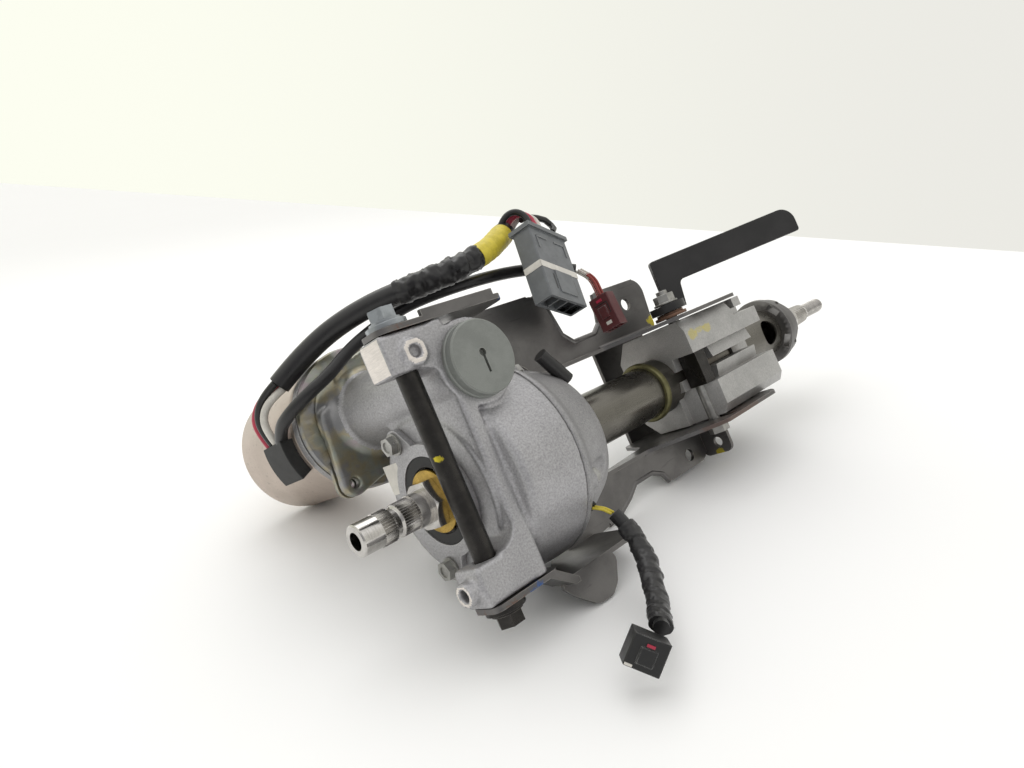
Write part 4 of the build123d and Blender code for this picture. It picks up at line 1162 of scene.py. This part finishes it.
class STEERING_OT_harness(bpy.types.Operator):
    """Lays the motor and sensor cables and finishes their plugs"""

    bl_idname = "steering.harness"
    bl_label = "Harness"

    lead: length("Motor lead", 0.005, "Thickness of a motor lead")
    tail: length("Plug lead", 0.0042, "Thickness of a plug lead")
    power: length("Power cable", 0.014, "Thickness of the power cable")
    signal: length("Signal cable", 0.008, "Thickness of the signal and sensor cables")
    sensor_wrap: length("Sensor tape", 0.0058, "Radius of the tape round the sensor cable")

    def execute(self, context):
        red = insulation("red", "red_wire")
        white = insulation("white", "white_wire")
        black = insulation("black", "rubber")
        brown_red = insulation("brown_red", "brown_wire")
        yellow = insulation("yellow", "tape")
        sleeve = taped_sleeve()
        grey = grey_plug()
        brown = brown_plug()
        sensor = black_plug()
        cores = dress("signal_wires", white, other=brown_red, rule=lambda place, _: place.z > BROWN_ABOVE)
        cable = dress("sensor_wires", yellow, other=white, rule=lambda place, _: place.x < WHITE_BEFORE)
        dress("wire_clip", moulded_black())
        leads = (
            ("red_wire", RED_ROUTE, red),
            ("black_wire", BLACK_ROUTE, black),
            ("white_wire", WHITE_ROUTE, white),
        )
        for name, route, finish in leads:
            lay_cord(f"{name}_lead", route, self.lead, finish, name, far_end="object", lay="taut")
        line = centre_line(POWER_ROUTE)
        wound = stretch_of(line, *POWER_TAPE)
        tape = wrap("power_tape", wound, self.power * SNUG, sleeve, lap=0.009, wrinkle=0.0009)
        wound = stretch_of(line, *YELLOW_BAND)
        band = wrap("yellow_band", wound, self.power * PROUD, marking_tape(), wrinkle=0.0002)
        lay_cord(
            "power_cable", POWER_ROUTE, self.power, sleeve, "power_sleeve",
            far_end="connector", with_pieces=[grey[0], tape, band],
        )
        tails = (("black_tail", black, -1), ("red_tail", red, 0), ("white_tail", white, 1))
        for name, finish, place in tails:
            route = [Vector(p) + TAIL_SPACING * place for p in TAIL_ROUTE]
            lay_cord(
                f"{name}_lead", route, self.tail, finish, name,
                far_end="connector", lay="taut", with_pieces=[grey[0]],
            )
        wrap("plug_loop", [resting(p) for p in LOOP_LINE], LOOP_RADIUS, moulded_black())
        lay_cord(
            "signal_lead", SIGNAL_ROUTE, self.signal, sleeve, "signal_cable",
            far_end="connector", with_pieces=[*brown, cores],
        )
        wound = stretch_of(centre_line(SENSOR_ROUTE), *SENSOR_TAPE)
        flat = wrap("sensor_tape", wound, self.sensor_wrap, sleeve, flat=0.74, lap=0.008, wrinkle=0.0006)
        lay_cord(
            "sensor_lead", SENSOR_ROUTE, self.signal, sleeve, "sensor_cable",
            far_end="connector", with_pieces=[*sensor, cable, flat],
        )
        return {"FINISHED"}


class STEERING_OT_stage(bpy.types.Operator):
    """Sets up the bench, the room's light and the camera"""

    bl_idname = "steering.stage"
    bl_label = "Bench, light and camera"

    lamp_power: bpy.props.FloatProperty(
        name="Lamp", description="Power of the window light", default=6.0, unit="POWER"
    )
    lens: bpy.props.FloatProperty(name="Lens", description="Focal length in millimetres", default=27.421875)

    def execute(self, context):
        colours = context.scene.column_colours
        bench(colours)
        room(context, colours)
        window((0.55, 0.95, 1.35), (0.2, 0.0, 0.0), 1.2, self.lamp_power)
        camera(context, self.lens)
        return {"FINISHED"}


def bench_paint(colours):
    """Smooth white laminate: matt, with hardly any unevenness."""
    material = bpy.data.materials.new("bench_laminate")
    material.use_nodes = True
    tree = material.node_tree
    tree.nodes.clear()
    where = add(tree, "ShaderNodeTexCoord").outputs["Object"]
    cloud = noise(tree, where, 300.0)
    tint = mixed(tree, cloud, rgba(colours.bench), rgba(colours.bench, 0.985))
    shader = add(tree, "ShaderNodeBsdfPrincipled", {"Base Color": tint, "Roughness": 0.7})
    add(tree, "ShaderNodeOutputMaterial", {"Surface": shader.outputs[0]})
    return material


def bench(colours):
    """Bench top, which ends at a straight slanting edge as in the photograph."""
    near, far, left = -3.0, 24.0, -6.0
    slant, through = 0.17037, Vector((1.344, 1.224))
    right = [through.x + (y - through.y) * slant for y in (near, far)]
    corners = [(right[0], near, BENCH), (right[1], far, BENCH), (left, far, BENCH), (left, near, BENCH)]
    mesh = bpy.data.meshes.new("bench")
    mesh.from_pydata(corners, [], [(0, 1, 2, 3)])
    mesh.materials.append(bench_paint(colours))
    placed("bench", mesh)


def room(context, colours):
    """World: pale walls in front, a dimmer room behind the camera, a bright ceiling."""
    world = bpy.data.worlds.new("room")
    world.use_nodes = True
    tree = world.node_tree
    tree.nodes.clear()
    direction = add(tree, "ShaderNodeTexCoord").outputs["Generated"]

    def towards(vector, low, high):
        """How far a direction leans towards a vector."""
        lean = add(tree, "ShaderNodeVectorMath", {0: direction, 1: vector}, operation="DOT_PRODUCT")
        return ramp(tree, lean.outputs["Value"], low, high, interpolation_type="SMOOTHSTEP")

    to_the_right = towards((0.70, -0.71, 0.0), -0.5, 0.6)
    behind_the_camera = towards((-0.71, -0.70, 0.0), 0.3, 0.8)
    overhead = towards((0.0, 0.0, 1.0), 0.4, 0.8)
    tone = mixed(tree, to_the_right, rgba(colours.wall_left), rgba(colours.wall_right))
    tone = mixed(tree, behind_the_camera, tone, rgba(linear("#B4B4B6")))
    tone = mixed(tree, overhead, tone, rgba(linear("#FFFEFC"), 1.14))
    light = add(tree, "ShaderNodeBackground", {"Color": tone, "Strength": 1.0})
    add(tree, "ShaderNodeOutputWorld", {"Surface": light.outputs[0]})
    context.scene.world = world


def window(place, target, size, power):
    """A square soft light aimed at a place."""
    data = bpy.data.lights.new("window", "AREA")
    data.shape = "SQUARE"
    data.size = size
    data.energy = power
    obj = placed("window", data)
    obj.location = place
    obj.rotation_euler = (Vector(target) - Vector(place)).to_track_quat("-Z", "Y").to_euler()


def camera(context, lens):
    """Camera where the photograph was taken."""
    data = bpy.data.cameras.new("camera")
    data.lens = lens
    data.sensor_width = 36.0
    data.sensor_fit = "HORIZONTAL"
    data.clip_start = 0.01
    data.clip_end = 50.0
    obj = placed("camera", data)
    obj.location = (-0.17812, -0.31339, 0.19336)
    obj.rotation_euler = [math.radians(a) for a in (71.188, 5.673, -45.371)]
    context.scene.camera = obj
    context.scene.view_settings.view_transform = "Standard"


PIECE_OPERATORS = (
    STEERING_OT_gear_housing,
    STEERING_OT_bracket,
    STEERING_OT_pivot,
    STEERING_OT_fasteners,
    STEERING_OT_shaft_line,
    STEERING_OT_worm_drive,
    STEERING_OT_tubes,
    STEERING_OT_clamp,
    STEERING_OT_motor,
    STEERING_OT_harness,
    STEERING_OT_stage,
)


class STEERING_PT_column(bpy.types.Panel):
    """Panel with the colours, sizes and building steps"""

    bl_label = "Steering column"
    bl_idname = "STEERING_PT_column"
    bl_space_type = "VIEW_3D"
    bl_region_type = "UI"
    bl_category = "Steering column"

    def draw(self, context):
        layout = self.layout
        for group in (context.scene.column_sizes, context.scene.column_colours):
            column = layout.column()
            for key in group.__annotations__:
                column.prop(group, key)
        for operator in PIECE_OPERATORS:
            layout.operator(operator.bl_idname)


CLASSES = (ColumnColours, ColumnSizes, *PIECE_OPERATORS, STEERING_PT_column)


def register():
    for cls in CLASSES:
        bpy.utils.register_class(cls)
    bpy.types.Scene.column_colours = bpy.props.PointerProperty(type=ColumnColours)
    bpy.types.Scene.column_sizes = bpy.props.PointerProperty(type=ColumnSizes)


def unregister():
    del bpy.types.Scene.column_sizes
    del bpy.types.Scene.column_colours
    for cls in reversed(CLASSES):
        bpy.utils.unregister_class(cls)


def main():
    register()
    bpy.ops.steering.gear_housing()
    bpy.ops.steering.bracket()
    bpy.ops.steering.pivot()
    bpy.ops.steering.fasteners()
    bpy.ops.steering.shaft_line()
    bpy.ops.steering.worm_drive()
    bpy.ops.steering.tubes()
    bpy.ops.steering.clamp()
    bpy.ops.steering.motor()
    bpy.ops.steering.harness()
    bpy.ops.steering.stage()


if __name__ == "__main__":
    main()
